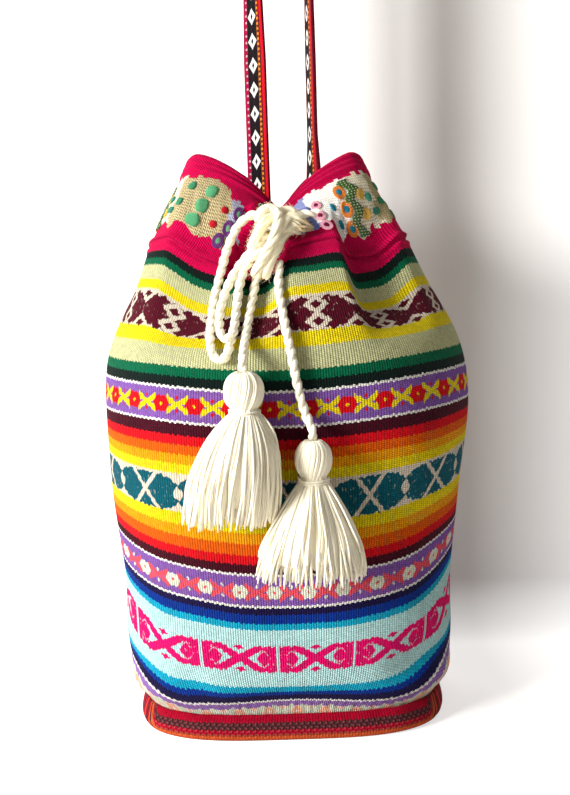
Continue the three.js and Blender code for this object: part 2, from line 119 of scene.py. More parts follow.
# Point of the cloth's outer face: phi is from the front towards the right side
def bag_point(phi, height):
    phi, height = np.broadcast_arrays(np.asarray(phi, float), np.asarray(height, float))
    width, depth, square = np.moveaxis(profile(height), -1, 0)
    across = np.abs(np.sin(phi)) / (width / 2)
    ahead = np.abs(np.cos(phi)) / (depth / 2)
    reach = (across**square + ahead**square) ** (-1 / square)
    level = height.copy()
    gathered = smoothstep(height, FOLDS_FROM, RIM)
    pulled = np.maximum(0, (height - FOLDS_FROM) / (RIM - FOLDS_FROM)) ** FOLD_PULL
    for at, half, deep, drop in FOLDS:
        share = away(phi, at, half)
        pleated = pleat(share)
        reach = reach - deep * gathered * (groove(share) + pleated) / 2
        level = level - drop * pulled * pleated**FOLD_CURVE
    creased = smoothstep(height, CREASES_FROM, CREASES_FULL[0])
    creased = creased * (1 - smoothstep(height, CREASES_FULL[1], CREASES_TO))
    for at, half, deep, drop in CREASES:
        sag = creased * groove(away(phi, at, half) ** 2)
        reach = reach - deep * sag
        level = level - drop * sag
    return stacked(reach * np.sin(phi), -reach * np.cos(phi), level)


def unit(vectors):
    return vectors / np.linalg.norm(vectors, axis=-1, keepdims=True)


# Points or coordinates from their parts, stretched to one shape
def stacked(*parts):
    return np.stack(np.broadcast_arrays(*parts), -1)


def circle(count):
    return np.linspace(0, 2 * np.pi, count, endpoint=False)


# Distance from the start of a path at each of its points
def run_along(path):
    return np.r_[0, np.cumsum(np.linalg.norm(np.diff(path, axis=0), axis=1))]


def bag_outward(phi, height):
    low, high = np.maximum(LOWER_EDGE, height - 0.5), np.minimum(RIM, height + 0.5)
    around = bag_point(phi + 0.01, height) - bag_point(phi - 0.01, height)
    up = bag_point(phi, high) - bag_point(phi, low)
    return unit(np.cross(around, up))


# The argument at which a rising function has each of the wanted values
def solve(low, high, wanted, rising):
    low = np.full(np.shape(wanted), low, float)
    high = np.full(np.shape(wanted), high, float)
    for _ in range(27):
        middle = (low + high) / 2
        below = rising(middle) < wanted
        low, high = np.where(below, middle, low), np.where(below, high, middle)
    return (low + high) / 2


# How far forward or back the cloth lies at places given across and up
def face(x, z, middle=0.0):
    x, z = np.broadcast_arrays(np.asarray(x, float), np.asarray(z, float))
    side = np.cos(middle)

    def level(phi):
        return solve(LOWER_EDGE, RIM, z, lambda height: bag_point(phi, height)[..., 2])

    def across(phi):
        return side * bag_point(phi, level(phi))[..., 0]

    phi = solve(middle - np.radians(75), middle + np.radians(75), side * x, across)
    return bag_point(phi, level(phi))[..., 1]


# Cloth coordinates: millimetres round the belly, and the level in the weave
BELLY_TURNS = np.linspace(-np.pi, np.pi, 2881)
BELLY_ARC = run_along(bag_point(BELLY_TURNS, BELLY))
GIRTH = BELLY_ARC[-1]
BELLY_ARC = BELLY_ARC - GIRTH / 2
LEAN = 0.012
LEAN_FROM = 310.0
SAG = 7.0
SAG_LEVELS = (38.0, 16.0)
SAG_ENDS = (305.0, 325.0)
SIDE_LIFT_LEVELS = (18, 36, 58, 85, 105, 165, 215)
LEFT_LIFT = (22, 22, 14, 24, 16.5, 4, 0)
RIGHT_LIFT = (18, 18, 19, 21, 15, 5, 0)
SIDE_LIFT_TURNS = (0.75, 1.4)
BACK_SHIFT = 2.5
DIP_LEVELS = (18, 40, 52, 61, 70, 85, 100, 150, 190)
FRONT_DIP = (1.4, 1.5, 0.3, 0.4, 1.8, 3.2, 3.0, 3.0, 0)
FRONT_TURNS = (-0.9, -0.25, 0.55, 1.0)
SHOULDER_DIP = 4.5
SHOULDER_TURNS = (0.42, 0.7, 1.3, 1.7)
SHOULDER_LEVELS = (262, 284, 306, 320)


def cloth_across(phi, height):
    arc = np.interp(phi, BELLY_TURNS, BELLY_ARC)
    behind = np.where(np.cos(phi) < 0, np.sign(arc) * GIRTH / 2, 0)
    lean = 1 + LEAN * np.maximum(0, height - LEAN_FROM) * np.cos(phi) ** 2
    return behind + (arc - behind) * lean


# One between the middle two of four rising values, falling to nought at the outer ones
def hump(value, edges):
    return smoothstep(value, *edges[:2]) * (1 - smoothstep(value, *edges[2:]))


def cloth_level(phi, height):
    dip = np.interp(height, DIP_LEVELS, FRONT_DIP) * hump(phi, FRONT_TURNS)
    dip = dip + SHOULDER_DIP * hump(phi, SHOULDER_TURNS) * hump(height, SHOULDER_LEVELS)
    rise = np.clip((height - SAG_LEVELS[0]) / SAG_LEVELS[1], -1, 1)
    sag = SAG * rise * (1 - smoothstep(height, *SAG_ENDS))
    shift = np.where(np.cos(phi) < -1e-6, BACK_SHIFT * (1 - smoothstep(height, *SAG_ENDS)), 0)
    aside = np.pi / 2 - np.abs(np.abs(phi) - np.pi / 2)
    sides = (np.interp(height, SIDE_LIFT_LEVELS, lift) for lift in (LEFT_LIFT, RIGHT_LIFT))
    lift = np.where(phi < 0, *sides) * smoothstep(aside, *SIDE_LIFT_TURNS)
    return height + sag * (np.abs(np.cos(phi)) ** 3 - 1) + shift - lift + dip


# Turn about the bag at which the cloth has a coordinate across, at a level
def cloth_turn(across, height):
    turns = np.linspace(-np.pi, np.pi, 1441)
    return np.interp(across, cloth_across(turns, height), turns)


# A mesh collected from grids of points, each with coordinates for its material
class Shape:
    def __init__(self):
        self.points, self.faces, self.coords, self.slots = [], [], [], []
        self.count = 0

    def grid(self, points, coords, around=False, joined=False, caps=False, slot=0):
        rows, columns = points.shape[:2]
        index = self.count + np.arange(rows * columns).reshape(rows, columns)
        if around:
            index = np.concatenate([index, index[:, :1]], axis=1)
        if joined:
            index = np.concatenate([index, index[:1]], axis=0)
            coords = np.concatenate([coords, coords[:1]], axis=0)
        quads = np.stack([index[:-1, :-1], index[:-1, 1:], index[1:, 1:], index[1:, :-1]], -1)
        corners = np.stack([coords[:-1, :-1], coords[:-1, 1:], coords[1:, 1:], coords[1:, :-1]], -2)
        self.points.append(points.reshape(-1, 3))
        self.faces.extend(quads.reshape(-1, 4).tolist())
        self.coords.append(corners.reshape(-1, 2))
        self.slots.extend([slot] * quads[..., 0].size)
        if caps:
            for ring, uv in ((index[0, :columns][::-1], coords[0]), (index[-1, :columns], coords[-1])):
                self.faces.append(ring.tolist())
                self.coords.append(uv[:columns])
                self.slots.append(slot)
        self.count += rows * columns

    # The mesh as a piece that rides on a body and stands for CAD nodes
    def piece(self, name, materials, nodes=(), body="bag"):
        mesh = bpy.data.meshes.new(name)
        mesh.from_pydata(np.concatenate(self.points) * MM, [], self.faces)
        layer = mesh.uv_layers.new(name="cloth")
        layer.data.foreach_set("uv", (np.concatenate(self.coords) * MM).astype(np.float32).ravel())
        for material in materials:
            mesh.materials.append(material)
        mesh.polygons.foreach_set("material_index", self.slots)
        mesh.polygons.foreach_set("use_smooth", [True] * len(mesh.polygons))
        mesh.update()
        made = bpy.data.objects.new(name, mesh)
        scene.collection.objects.link(made)
        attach(made, body)
        if nodes:
            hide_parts(*nodes)
        return made


# A piece made of one grid of points that closes round
def ring_piece(name, material, slot, node, points, coords, **ends):
    shape = Shape()
    shape.grid(np.array(points), np.array(coords), around=True, **ends)
    return shape.piece(name, [material], [node])


# Smooth line through points, sampled at about equal steps
def smooth_path(points, step):
    points = np.asarray(points, float)
    ends = np.concatenate([2 * points[:1] - points[1:2], points, 2 * points[-1:] - points[-2:-1]])
    spans = np.sqrt(np.linalg.norm(np.diff(ends, axis=0), axis=1))
    knots = np.r_[0, np.cumsum(spans)]
    line = []
    for i in range(1, len(ends) - 2):
        t = np.linspace(knots[i], knots[i + 1], 24, endpoint=False)[:, None]
        k, p = knots[i - 1 : i + 3], ends[i - 1 : i + 3]
        a = [((k[j + 1] - t) * p[j] + (t - k[j]) * p[j + 1]) / (k[j + 1] - k[j]) for j in range(3)]
        b = [((k[j + 2] - t) * a[j] + (t - k[j]) * a[j + 1]) / (k[j + 2] - k[j]) for j in range(2)]
        line.append(((k[2] - t) * b[0] + (t - k[1]) * b[1]) / (k[2] - k[1]))
    line = np.concatenate([*line, points[-1:]])
    arc = run_along(line)
    wanted = np.linspace(0, arc[-1], max(3, int(round(arc[-1] / step)) + 1))
    return np.stack([np.interp(wanted, arc, line[:, i]) for i in range(3)], -1)


# Directions along and square to a path, turning as little as they can
def path_frames(path):
    along = unit(np.gradient(path, axis=0))
    start = (0, 1, 0) if abs(along[0][1]) < 0.8 else (1, 0, 0)
    side = [unit(np.cross(along[0], start))]
    for direction in along[1:]:
        side.append(unit(side[-1] - direction * (side[-1] @ direction)))
    side = np.array(side)
    return along, side, np.cross(along, side)


# Directions at angles round a path
def spokes(angle, side, other):
    return np.cos(angle)[..., None] * side + np.sin(angle)[..., None] * other


# A round strand along a path
def strand(shape, path, radius, sides=6, slot=0, shift=0.0):
    _, side, other = path_frames(path)
    ring = spokes(circle(sides), side[:, None], other[:, None])
    radius = np.broadcast_to(radius, len(path))[:, None, None]
    run = run_along(path) + shift
    coords = stacked(np.linspace(0, 1, sides + 1) * 5, run[:, None])
    shape.grid(path[:, None] + radius * ring, coords, around=True, caps=True, slot=slot)


def rounded_ends(count, size, ends=3):
    radius = np.full(count, float(size))
    taper = np.sqrt(1 - np.linspace(0.97, 0, ends + 1)[:-1] ** 2)
    radius[:ends] *= taper
    radius[-ends:] *= taper[::-1]
    return radius


# Plies and yarns of a cord, as shares of its diameter: distance from its middle, and radius
PLY_OFFSET, PLY_RADIUS = 0.175, 0.335
YARN_OFFSET, YARN_RADIUS, MIDDLE_YARN_RADIUS = 0.25, 0.24, 0.3


# Two plies laid round each other
def twisted_cord(shape, path, diameter, pitch=13.0, plies=2, sides=8):
    _, side, other = path_frames(path)
    run = run_along(path)
    wander = 1 + 0.05 * np.sin(run / 4.1 + chance.uniform(0, 6)) + 0.04 * np.sin(run / 1.7)
    for ply in range(plies):
        turn = 2 * np.pi * (run / pitch + ply / plies) + 0.25 * np.sin(run / 9.0)
        centre = path + PLY_OFFSET * diameter * spokes(turn, side, other)
        radius = rounded_ends(len(path), PLY_RADIUS * diameter) * wander
        strand(shape, centre, radius, sides, shift=37.0 * ply)


# A soft cord of yarns that run side by side with little twist
def loose_cord(shape, path, diameter, yarns=7, pitch=52.0):
    _, side, other = path_frames(path)
    run = run_along(path)
    for yarn in range(yarns):
        turn = 2 * np.pi * (run / pitch + yarn / (yarns - 1)) + 0.4 * np.sin(run / 6 + chance.uniform(0, 6))
        reach = YARN_OFFSET * diameter * (1 + 0.16 * np.sin(run / 4.5 + chance.uniform(0, 6))) * min(yarn, 1)
        centre = path + reach[:, None] * spokes(turn, side, other)
        size = YARN_RADIUS * diameter * (1 + 0.10 * np.sin(run / 2.3 + chance.uniform(0, 6)))
        if yarn == 0:
            size = np.full(run.size, MIDDLE_YARN_RADIUS * diameter)
        strand(shape, centre, rounded_ends(len(path), 1.0) * size, 7, shift=29.0 * yarn)


# Fine stray fibres standing off a cord
FIBRE = np.array([0.09, 0.07, 0.04])


def fuzz(shape, path, radius, count, reach):
    along, side, other = path_frames(path)
    for place in chance.integers(1, len(path) - 1, count):
        out = spokes(np.array(chance.uniform(0, 2 * np.pi)), side[place], other[place])
        slant = along[place] * chance.uniform(-1, 1) + np.cross(along[place], out) * chance.uniform(-0.7, 0.7)
        start = path[place] + out * radius * 0.75
        far = chance.uniform(0.5, 1) * reach
        middle = start + out * far * 0.55 + slant * far * 0.6
        end = start + out * far * chance.uniform(0.6, 1) + slant * far * 1.4
        strand(shape, np.array([start, middle, end]), FIBRE, 3)


# Sets inputs of a node by name or number, or links them to shader numbers and sockets
def feed(tree, node, inputs):
    for key, value in inputs.items():
        value = getattr(value, "socket", value)
        if isinstance(value, bpy.types.NodeSocket):
            tree.links.new(value, node.inputs[key])
        else:
            node.inputs[key].default_value = value


# A new shader node with its inputs and settings
def add_node(tree, kind, inputs=None, **settings):
    node = tree.nodes.new(f"ShaderNode{kind}")
    for name, value in settings.items():
        setattr(node, name, value)
    feed(tree, node, inputs or {})
    return node


# Shader numbers with ordinary arithmetic
class Field:
    def __init__(self, tree, socket):
        self.tree, self.socket = tree, socket

    def math(self, operation, *others, clamp=False):
        values = dict(enumerate((self, *others)))
        node = add_node(self.tree, "Math", values, operation=operation, use_clamp=clamp)
        return Field(self.tree, node.outputs[0])

    __add__ = __radd__ = partialmethod(math, "ADD")
    __sub__ = partialmethod(math, "SUBTRACT")
    __mul__ = __rmul__ = partialmethod(math, "MULTIPLY")
    __truediv__ = partialmethod(math, "DIVIDE")
    __abs__ = partialmethod(math, "ABSOLUTE")
    least = partialmethod(math, "MINIMUM")
    most = partialmethod(math, "MAXIMUM")
    above = partialmethod(math, "GREATER_THAN")
    floor = partialmethod(math, "FLOOR")
    fraction = partialmethod(math, "FRACT")
    wave = partialmethod(math, "SINE")

    def __rsub__(self, other):
        return (self * -1) + other

    # Distance from the nearest of a row of places
    def repeat(self, period, centre=0.0):
        return (self - centre).math("WRAP", period / 2, -period / 2)

    # One where the value is above nought, with a soft edge
    def inside(self, soft=0.4):
        return self.math("MULTIPLY_ADD", 1 / soft, 0.5, clamp=True)


def srgb(red, green, blue):
    share = np.array([red, green, blue]) / 255
    linear = np.where(share <= 0.04045, share / 12.92, ((share + 0.055) / 1.055) ** 2.4)
    return (*linear.tolist(), 1.0)


# A cloth or wool material with its coordinates in millimetres
class Surface:
    def __init__(self, name, roughness=0.9, sheen=0.02, specular=0.06):
        self.material = bpy.data.materials.new(name)
        self.material.use_nodes = True
        self.tree = self.material.node_tree
        self.shader = self.tree.nodes["Principled BSDF"]
        feed(self.tree, self.shader, {
            "Roughness": roughness, "Specular IOR Level": specular,
            "Sheen Weight": sheen, "Sheen Roughness": 0.5,
        })
        place = add_node(self.tree, "UVMap", uv_map="cloth")
        split = add_node(self.tree, "SeparateXYZ", {0: place.outputs["UV"]})
        self.u, self.v = (Field(self.tree, split.outputs[i]) * (1 / MM) for i in range(2))

    def place(self, u, v):
        return add_node(self.tree, "CombineXYZ", {0: u, 1: v}).outputs[0]

    def noise(self, u, v, scale=1.0, detail=2.0):
        inputs = {"Scale": scale, "Detail": detail, "Vector": self.place(u, v)}
        return Field(self.tree, add_node(self.tree, "TexNoise", inputs).outputs["Fac"])

    # A random number for each whole step of the two coordinates
    def scatter(self, u, v):
        inputs = {"Vector": self.place(u.floor(), v.floor())}
        node = add_node(self.tree, "TexWhiteNoise", inputs, noise_dimensions="2D")
        return Field(self.tree, node.outputs["Value"])

    # Colours that change at stops along a number from nought to one
    def ramp(self, field, stops):
        node = add_node(self.tree, "ValToRGB", {0: field})
        node.color_ramp.interpolation = "CONSTANT"
        elements = node.color_ramp.elements
        for i, (place, colour) in enumerate(stops):
            stop = elements[i] if i < 2 else elements.new(place)
            stop.position = place
            stop.color = colour
        return node.outputs[0]

    def blend(self, share, first, second, how="MIX"):
        inputs = {0: share, 6: first, 7: second}
        return add_node(self.tree, "Mix", inputs, data_type="RGBA", blend_type=how).outputs[2]

    # Colour darkened or lightened by a number
    def shade(self, colour, amount):
        grey = add_node(self.tree, "CombineColor", dict.fromkeys(range(3), amount))
        return self.blend(1.0, colour, grey.outputs[0], "MULTIPLY")

    def finish(self, colour, height, strength=0.6, distance=0.0006):
        inputs = {"Strength": strength, "Distance": distance, "Height": height}
        bump = add_node(self.tree, "Bump", inputs)
        feed(self.tree, self.shader, {"Base Color": colour, "Normal": bump.outputs[0]})
        return self.material


# Colours of the threads
MAGENTA = srgb(208, 0, 74)
BLACK_GREEN = srgb(10, 26, 22)
GREEN = srgb(2, 98, 64)
SAGE = srgb(196, 196, 146)
YELLOW = srgb(234, 210, 22)
AMBER = srgb(238, 156, 10)
ORANGE = srgb(226, 92, 8)
RED = srgb(216, 14, 28)
DARK_MAROON = srgb(66, 8, 26)
MAROON = srgb(84, 10, 30)
BEIGE = srgb(222, 208, 188)
FLAX = srgb(170, 154, 114)
WHITE = srgb(238, 234, 226)
PURPLE = srgb(130, 88, 166)
LILAC = srgb(146, 106, 176)
TEAL = srgb(8, 88, 102)
NAVY = srgb(24, 16, 62)
BLUE = srgb(8, 50, 140)
TURQUOISE = srgb(22, 166, 198)
AQUA = srgb(186, 228, 226)
HOT_PINK = srgb(236, 10, 108)
CORAL = srgb(236, 84, 96)
PEACH = srgb(240, 212, 190)
CREAM = srgb(255, 247, 222)
CRIMSON = srgb(166, 4, 38)
BROWN = srgb(70, 34, 40)
RUST = srgb(214, 88, 36)

# Stripes of the cloth from its lower edge up: upper level of each, and its colour
STRIPES = (
    (23.4, PEACH), (28.2, LILAC), (29, WHITE), (33.4, NAVY), (37.3, BLUE), (41.0, TURQUOISE),
    (52.3, AQUA), (70.5, AQUA), (81.2, AQUA), (86.3, TURQUOISE), (91.4, BLUE), (96.3, NAVY),
    (97.6, WHITE), (102.4, PURPLE), (110.9, PURPLE), (116.7, PURPLE), (118, WHITE),
    (123.1, DARK_MAROON), (129.5, RED), (136.6, ORANGE), (144.2, AMBER), (151.1, YELLOW),
    (173.9, BEIGE), (179.4, YELLOW), (185.5, AMBER), (191.4, ORANGE), (197.4, RED),
    (204.4, DARK_MAROON), (205.6, WHITE), (212, PURPLE), (220.1, PURPLE), (224.8, PURPLE),
    (226.4, WHITE), (232, BLACK_GREEN), (238.4, GREEN), (250.4, SAGE), (259.2, YELLOW),
    (281.5, BEIGE), (287, YELLOW), (295, SAGE), (299.5, GREEN), (305, BLACK_GREEN), (370, MAGENTA),
)
STRIPES_TOP = 370.0
RIB = 1.65
ROW = 1.25


# Ribs of a warp-faced weave with its threads passing over and under
def weave(surface, u, v, rib=RIB, row=ROW):
    across = u / rib
    lane = across.floor()
    ribs = (across.fraction() - 0.5) * 2
    up = v / row + lane.repeat(2) * 0.5 + ribs * 0.22
    grains = (up.fraction() - 0.5) * 2
    ridge = 1 - ribs * ribs * 0.8
    bead = 1 - grains * grains * 0.9
    tone = surface.scatter(across, up)
    height = ridge * 0.3 + bead * ridge * 0.7
    return height, tone


def stripe_colour(surface, level):
    half = len(STRIPES) // 2
    low, high = STRIPES[:half], STRIPES[half:]
    border = low[-1][0]
    share = level / STRIPES_TOP

    def stops(stripes, start):
        edges = [start, *(top for top, _ in stripes[:-1])]
        return [(edge / STRIPES_TOP, colour) for edge, (_, colour) in zip(edges, stripes)]

    below = surface.ramp(share, stops(low, 0.0))
    above = surface.ramp(share, stops(high, border))
    return surface.blend(level.above(border), below, above)


# Motifs, drawn in distances from the middle of a repeat and from the middle of the band.
# Braided strands that cross and open round pale eyes
def braid_motif(x, y, period, half, fleck):
    edge = (x * (2 * np.pi / 6.2)).wave() * 0.4
    body = ((x * 0.62 + 2.9).least(edge + half - 0.4) - y).inside()
    eye = ((x - 5.4) * 0.66 - y).least(y * 0.5 + 11.8 - x).inside()
    heart = abs(x - 16.6) * 0.8 + y * 0.86
    vein = (0.34 - abs(heart - 5.2)).least(20.0 - x).inside() * 0.6
    split = (0.9 - abs(x - period / 2)).inside()
    thread = (fleck - 0.70).least(x - 13).inside(0.08) * 0.6
    lens = (1.9 - abs(y - half + 1.9) - x * 0.46).inside()
    return (body - eye.most(split).most(thread).most(vein)).most(lens)


# Ovals cut by thin crossing lines, with pinched lenses between
def oval_motif(x, y, period, half, fleck):
    lines = (1.25 - abs(x - y * 0.8) * 0.77).inside()
    between = period / 2 - x
    lens = (3.0 - y * y * 0.153 - between).inside()
    wedge = ((y - 5.0) * 0.95 - between).inside()
    thread = (fleck - 0.68).inside(0.08) * 0.4
    edge = (x * (2 * np.pi / 5.4)).wave() * 0.4
    rounded = (x - 9).most(0.0)
    band = (edge + half - 0.7 - rounded * rounded * 0.022 - y).inside()
    return band - lines.most(lens).most(wedge).most(thread)


# Crossed dark strands beside dark diamonds in pale rings
def net_motif(x, y, period, half, fleck):
    cross = period / 2 - x
    edge = (x * (2 * np.pi / 8.8) + 1.2).wave() * 0.9
    body = ((cross * 0.6 + 3.0).least(edge + half - 0.9) - y).inside()
    lens = (2.2 - abs(y - half * 0.82) - cross * 0.42).inside()
    ring = (6.1 - abs(y - 4.9) - x * 0.66).inside()
    diamond = (2.6 - abs(y - 5.1) - x * 0.6).inside()
    thread = (fleck - 0.68).inside(0.08) * 0.4
    return (body - ring.most(thread)).most(lens).most(diamond)


# Rosettes between crosses of four leaves: where the flower, its heart and the leaves lie
def flower_motif(x, y, period, half, slope):
    flower = (half * 1.3 - x * 1.05 - y * 0.6).least(half - 0.2 - y).inside()
    heart = (1.2 - x - y).inside()
    cross = period / 2 - x
    tip = (1.2 - cross - abs(y - half * 0.8) * 0.8).inside()
    leaf = (cross * 0.18 + 1.1 - abs(y - cross * slope - 0.3)).least(x - half + 0.8).inside()
    return flower.most(tip), heart, leaf


# Woven motifs: drawing, middle level, repeat, centre, half height, colour, lowest and highest level
WOVEN = (
    (braid_motif, 61.4, 52.4, 17.1, 10.0, HOT_PINK, 52.3, 70.5),
    (oval_motif, 162.5, 46.8, 50.6, 11.4, TEAL, 151.1, 173.9),
    (net_motif, 270.2, 53.0, 24.9, 10.5, MAROON, 259.7, 280.8),
)
# Rows of flowers: middle level, repeat, centre, half height, slope of the leaves, and their colours
FLORAL_HALF = 4.2
FLORAL = (
    (216.0, 22.5, 37.3, 4.9, 0.5, RED, YELLOW, YELLOW),
    (106.7, 22.5, 12.9, 4.3, 0.42, srgb(226, 226, 204), CORAL, CORAL),
    (20.0, 25.5, 4.0, 4.0, 0.42, srgb(244, 176, 142), WHITE, srgb(214, 220, 196)),
)
MOTIF_MARGIN = 2.2
# Painted shade for the crease of the fold line
PAINTED_CREASE_SHADE = srgb(96, 0, 30)

# Ground colours of the sewn fields, by where each starts in one repeat round the mouth
FIELD_REPEAT = GIRTH / 3
FIELDS = (
    (-116.2, FLAX), (-64, srgb(150, 150, 168)), (-50, MAGENTA), (-20, FLAX),
    (-4, WHITE), (16, srgb(140, 150, 198)), (49, WHITE), (96, srgb(214, 204, 178)),
)
FIELD_LOW = 324.0
FIELD_HIGH = 353.5
FOLD_LINE = 316.0
CREASE_WAVE = 1.6
CREASE_TURNS = 2 * np.pi * 5 / GIRTH


def striped_cloth():
    surface = Surface("striped_cloth")
    u, v = surface.u, surface.v
    height, tone = weave(surface, u, v)
    tooth = (u / RIB).floor().repeat(2) * 0.55 + (surface.scatter(u / RIB, v / 40) - 0.5) * 0.35
    scallop = (u * (2 * np.pi / 4.7)).wave() * 0.15
    level = v + tooth + scallop
    colour = stripe_colour(surface, level)
    step = u + tooth * 0.5

    def motif(colour, mask, paint, low, high):
        within = (v - low + MOTIF_MARGIN).least(high + MOTIF_MARGIN - v).inside()
        return surface.blend((mask * within).math("MINIMUM", 1.0, clamp=True), colour, paint)

    fleck = surface.noise(u * 0.55, v * 0.3, detail=1.0)
    for draw, middle, period, centre, half, paint, low, high in WOVEN:
        x, y = abs(step.repeat(period, centre)), abs(level - middle)
        colour = motif(colour, draw(x, y, period, half, fleck), paint, low, high)
    for middle, period, centre, half, slope, flower_paint, heart_paint, leaf_paint in FLORAL:
        x, y = abs(step.repeat(period, centre)), abs(level - middle)
        flower, heart, leaf = flower_motif(x, y, period, half, slope)
        for mask, paint in ((leaf, leaf_paint), (flower, flower_paint), (heart, heart_paint)):
            colour = motif(colour, mask, paint, middle - FLORAL_HALF, middle + FLORAL_HALF)

    # Sewn fields round the mouth, with uneven stepped edges
    turn = u.repeat(FIELD_REPEAT)
    ragged = surface.scatter(u / 4.2, v * 0)
    jag = (surface.scatter(v / 2.6, v * 0) - 0.5) * 5
    fields = surface.ramp(
        ((u + jag).repeat(FIELD_REPEAT) + FIELD_REPEAT / 2) / FIELD_REPEAT,
        [((start + FIELD_REPEAT / 2) / FIELD_REPEAT, paint) for start, paint in FIELDS],
    )
    hollow = (1 - (turn + 56) * (turn + 56) / 320).most(0.0) * 9
    teeth = abs(u.repeat(23.0, 5.0)) * 0.42
    foot = v - FIELD_LOW - ragged * 3.0 - teeth
    head = FIELD_HIGH + ragged * 3.5 - hollow - v
    sewn = foot.least(head).inside(0.3)
    stitch = (v * (2 * np.pi / 1.5) + (u * (2 * np.pi / 1.9)).wave()).wave()
    colour = surface.blend(sewn, colour, fields)
    height = height + sewn * (stitch * 0.4 + 0.6)

    # Painted shade darkens the cloth along the crease of the fold line
    crease = v - FOLD_LINE - (u * CREASE_TURNS).wave() * CREASE_WAVE
    colour = surface.blend((0.6 - abs(crease)).inside(0.9) * 0.55, colour, PAINTED_CREASE_SHADE)
    patch = surface.noise(u * 0.02, v * 0.06)
    # Painted shade in the grooves between ribs and sewn stitches, with random tone of threads and patches
    groove_shade_and_tone = height * 0.73 + tone * 0.21 + patch * 0.17 + 0.19
    return surface.finish(surface.shade(colour, groove_shade_and_tone), height, 0.9, 0.0008)


# Plain cloth of one colour with a weave
def plain_cloth(name, paint, rib=RIB, row=ROW):
    surface = Surface(name)
    height, tone = weave(surface, surface.u, surface.v, rib, row)
    # Painted shade in the grooves between the ribs, with random tone of the threads
    groove_shade_and_tone = height * 0.26 + tone * 0.18 + 0.54
    return surface.finish(surface.shade(paint, groove_shade_and_tone), height)


# Wool with the twist of its fibres
def wool(name, paint, dark=0.85, sheen=0.4, mottle=0.1):
    surface = Surface(name, roughness=0.95, sheen=sheen, specular=0.1)
    u, v = surface.u, surface.v
    twist = ((v * 1.3 + u * 1.256) * (2 * np.pi / 1.6)).wave()
    fibre = surface.noise(u * 1.2 + v * 0.8, v * 0.9 - u, 1.6, 4.0)
    patch = surface.noise(u * 0.1, v * 0.05)
    # Painted shade in the grooves of the twist and between fibres, with a random mottle of the yarn
    groove_shade_and_tone = twist * 0.04 + fibre * 0.24 + patch * mottle + dark
    return surface.finish(surface.shade(paint, groove_shade_and_tone), twist * 0.4 + fibre, 0.5, 0.0004)


BASE_STRIPES = (
    (0.0, RUST), (4.2, srgb(150, 56, 40)), (5.2, CRIMSON), (8.2, BROWN), (12.6, CRIMSON),
    (21.0, BROWN), (24.0, CRIMSON), (30.0, RUST), (33.0, CRIMSON), (40.0, BROWN), (46.0, CRIMSON),
    (52.0, RUST), (56.0, BROWN),
)
BASE_REPEAT = 60.0
BASE_FRONT = 71.6
BASE_RIB = 1.9
DOT_ROW = 2.1


# Woven bands of the base, running across it and up at its front and back
def base_cloth():
    surface = Surface("base_cloth")
    u, v = surface.u, surface.v
    height, tone = weave(surface, u, v, BASE_RIB, 1.3)
    tooth = (u / BASE_RIB).floor().repeat(2) * 0.5
    inward = (abs(v) + tooth - BASE_FRONT).math("WRAP", BASE_REPEAT, 0.0)
    stops = [(place / BASE_REPEAT, paint) for place, paint in BASE_STRIPES]
    colour = surface.ramp(inward / BASE_REPEAT, stops)
    stagger = u + (inward / DOT_ROW).floor() * BASE_RIB
    dots = (0.75 - abs(stagger.repeat(2 * BASE_RIB))).least(0.5 - abs(inward.repeat(DOT_ROW, DOT_ROW / 2)))
    dots = dots.inside(0.5) * (13.0 - inward).inside(1.0)
    colour = surface.blend(dots * 0.3, colour, srgb(222, 120, 104))
    # Painted shade in the grooves between the ribs, with random tone of the threads
    groove_shade_and_tone = height * 0.52 + tone * 0.22 + 0.32
    return surface.finish(surface.shade(colour, groove_shade_and_tone), height)


# Stripes of the strap, by share of its width
STRAP_WIDTH = 20.0
STRAP_STRIPES = (
    (0.0, srgb(150, 14, 60)), (0.13, srgb(24, 18, 22)), (0.62, srgb(226, 126, 40)),
    (0.71, srgb(60, 14, 22)), (0.76, srgb(196, 16, 34)), (0.92, srgb(90, 8, 26)),
)
DIAMOND_REPEAT = 16.0


# Patterned webbing of the strap: coordinates across it and along it
def strap_cloth():
    surface = Surface("strap_cloth")
    u, v = surface.u, surface.v
    height, tone = weave(surface, v, u, 1.1, 0.9)
    colour = surface.ramp((u + STRAP_WIDTH / 2) / STRAP_WIDTH, STRAP_STRIPES)
    along = abs(v.repeat(DIAMOND_REPEAT))
    across = abs(u + 2.4)
    diamond = (4.0 - across - along * 0.72).inside()
    dot = (1.3 - across - along * 0.5).inside()
    fleck = (0.5 - abs(u + 8.6) * 0.7).least(0.6 - abs(v.repeat(4.4))).inside() * 0.55
    speck = (0.6 - abs(u - 3.4) * 0.8).least(0.8 - abs(v.repeat(3.3))).inside()
    colour = surface.blend((diamond - dot).most(0.0), colour, WHITE)
    colour = surface.blend(fleck, colour, WHITE)
    colour = surface.blend(speck, colour, srgb(60, 20, 30))
    # Painted shade in the grooves between the ribs, with random tone of the threads
    groove_shade_and_tone = height * 0.26 + tone * 0.18 + 0.53
    return surface.finish(surface.shade(colour, groove_shade_and_tone), height)


STRIPED = striped_cloth()
MOUTH = plain_cloth("mouth_cloth", MAGENTA)
WOOL = wool("wool", CREAM)
KNOT_WOOL = wool("knot_wool", srgb(255, 244, 210), 0.9)
BASE = base_cloth()
STRAP = strap_cloth()

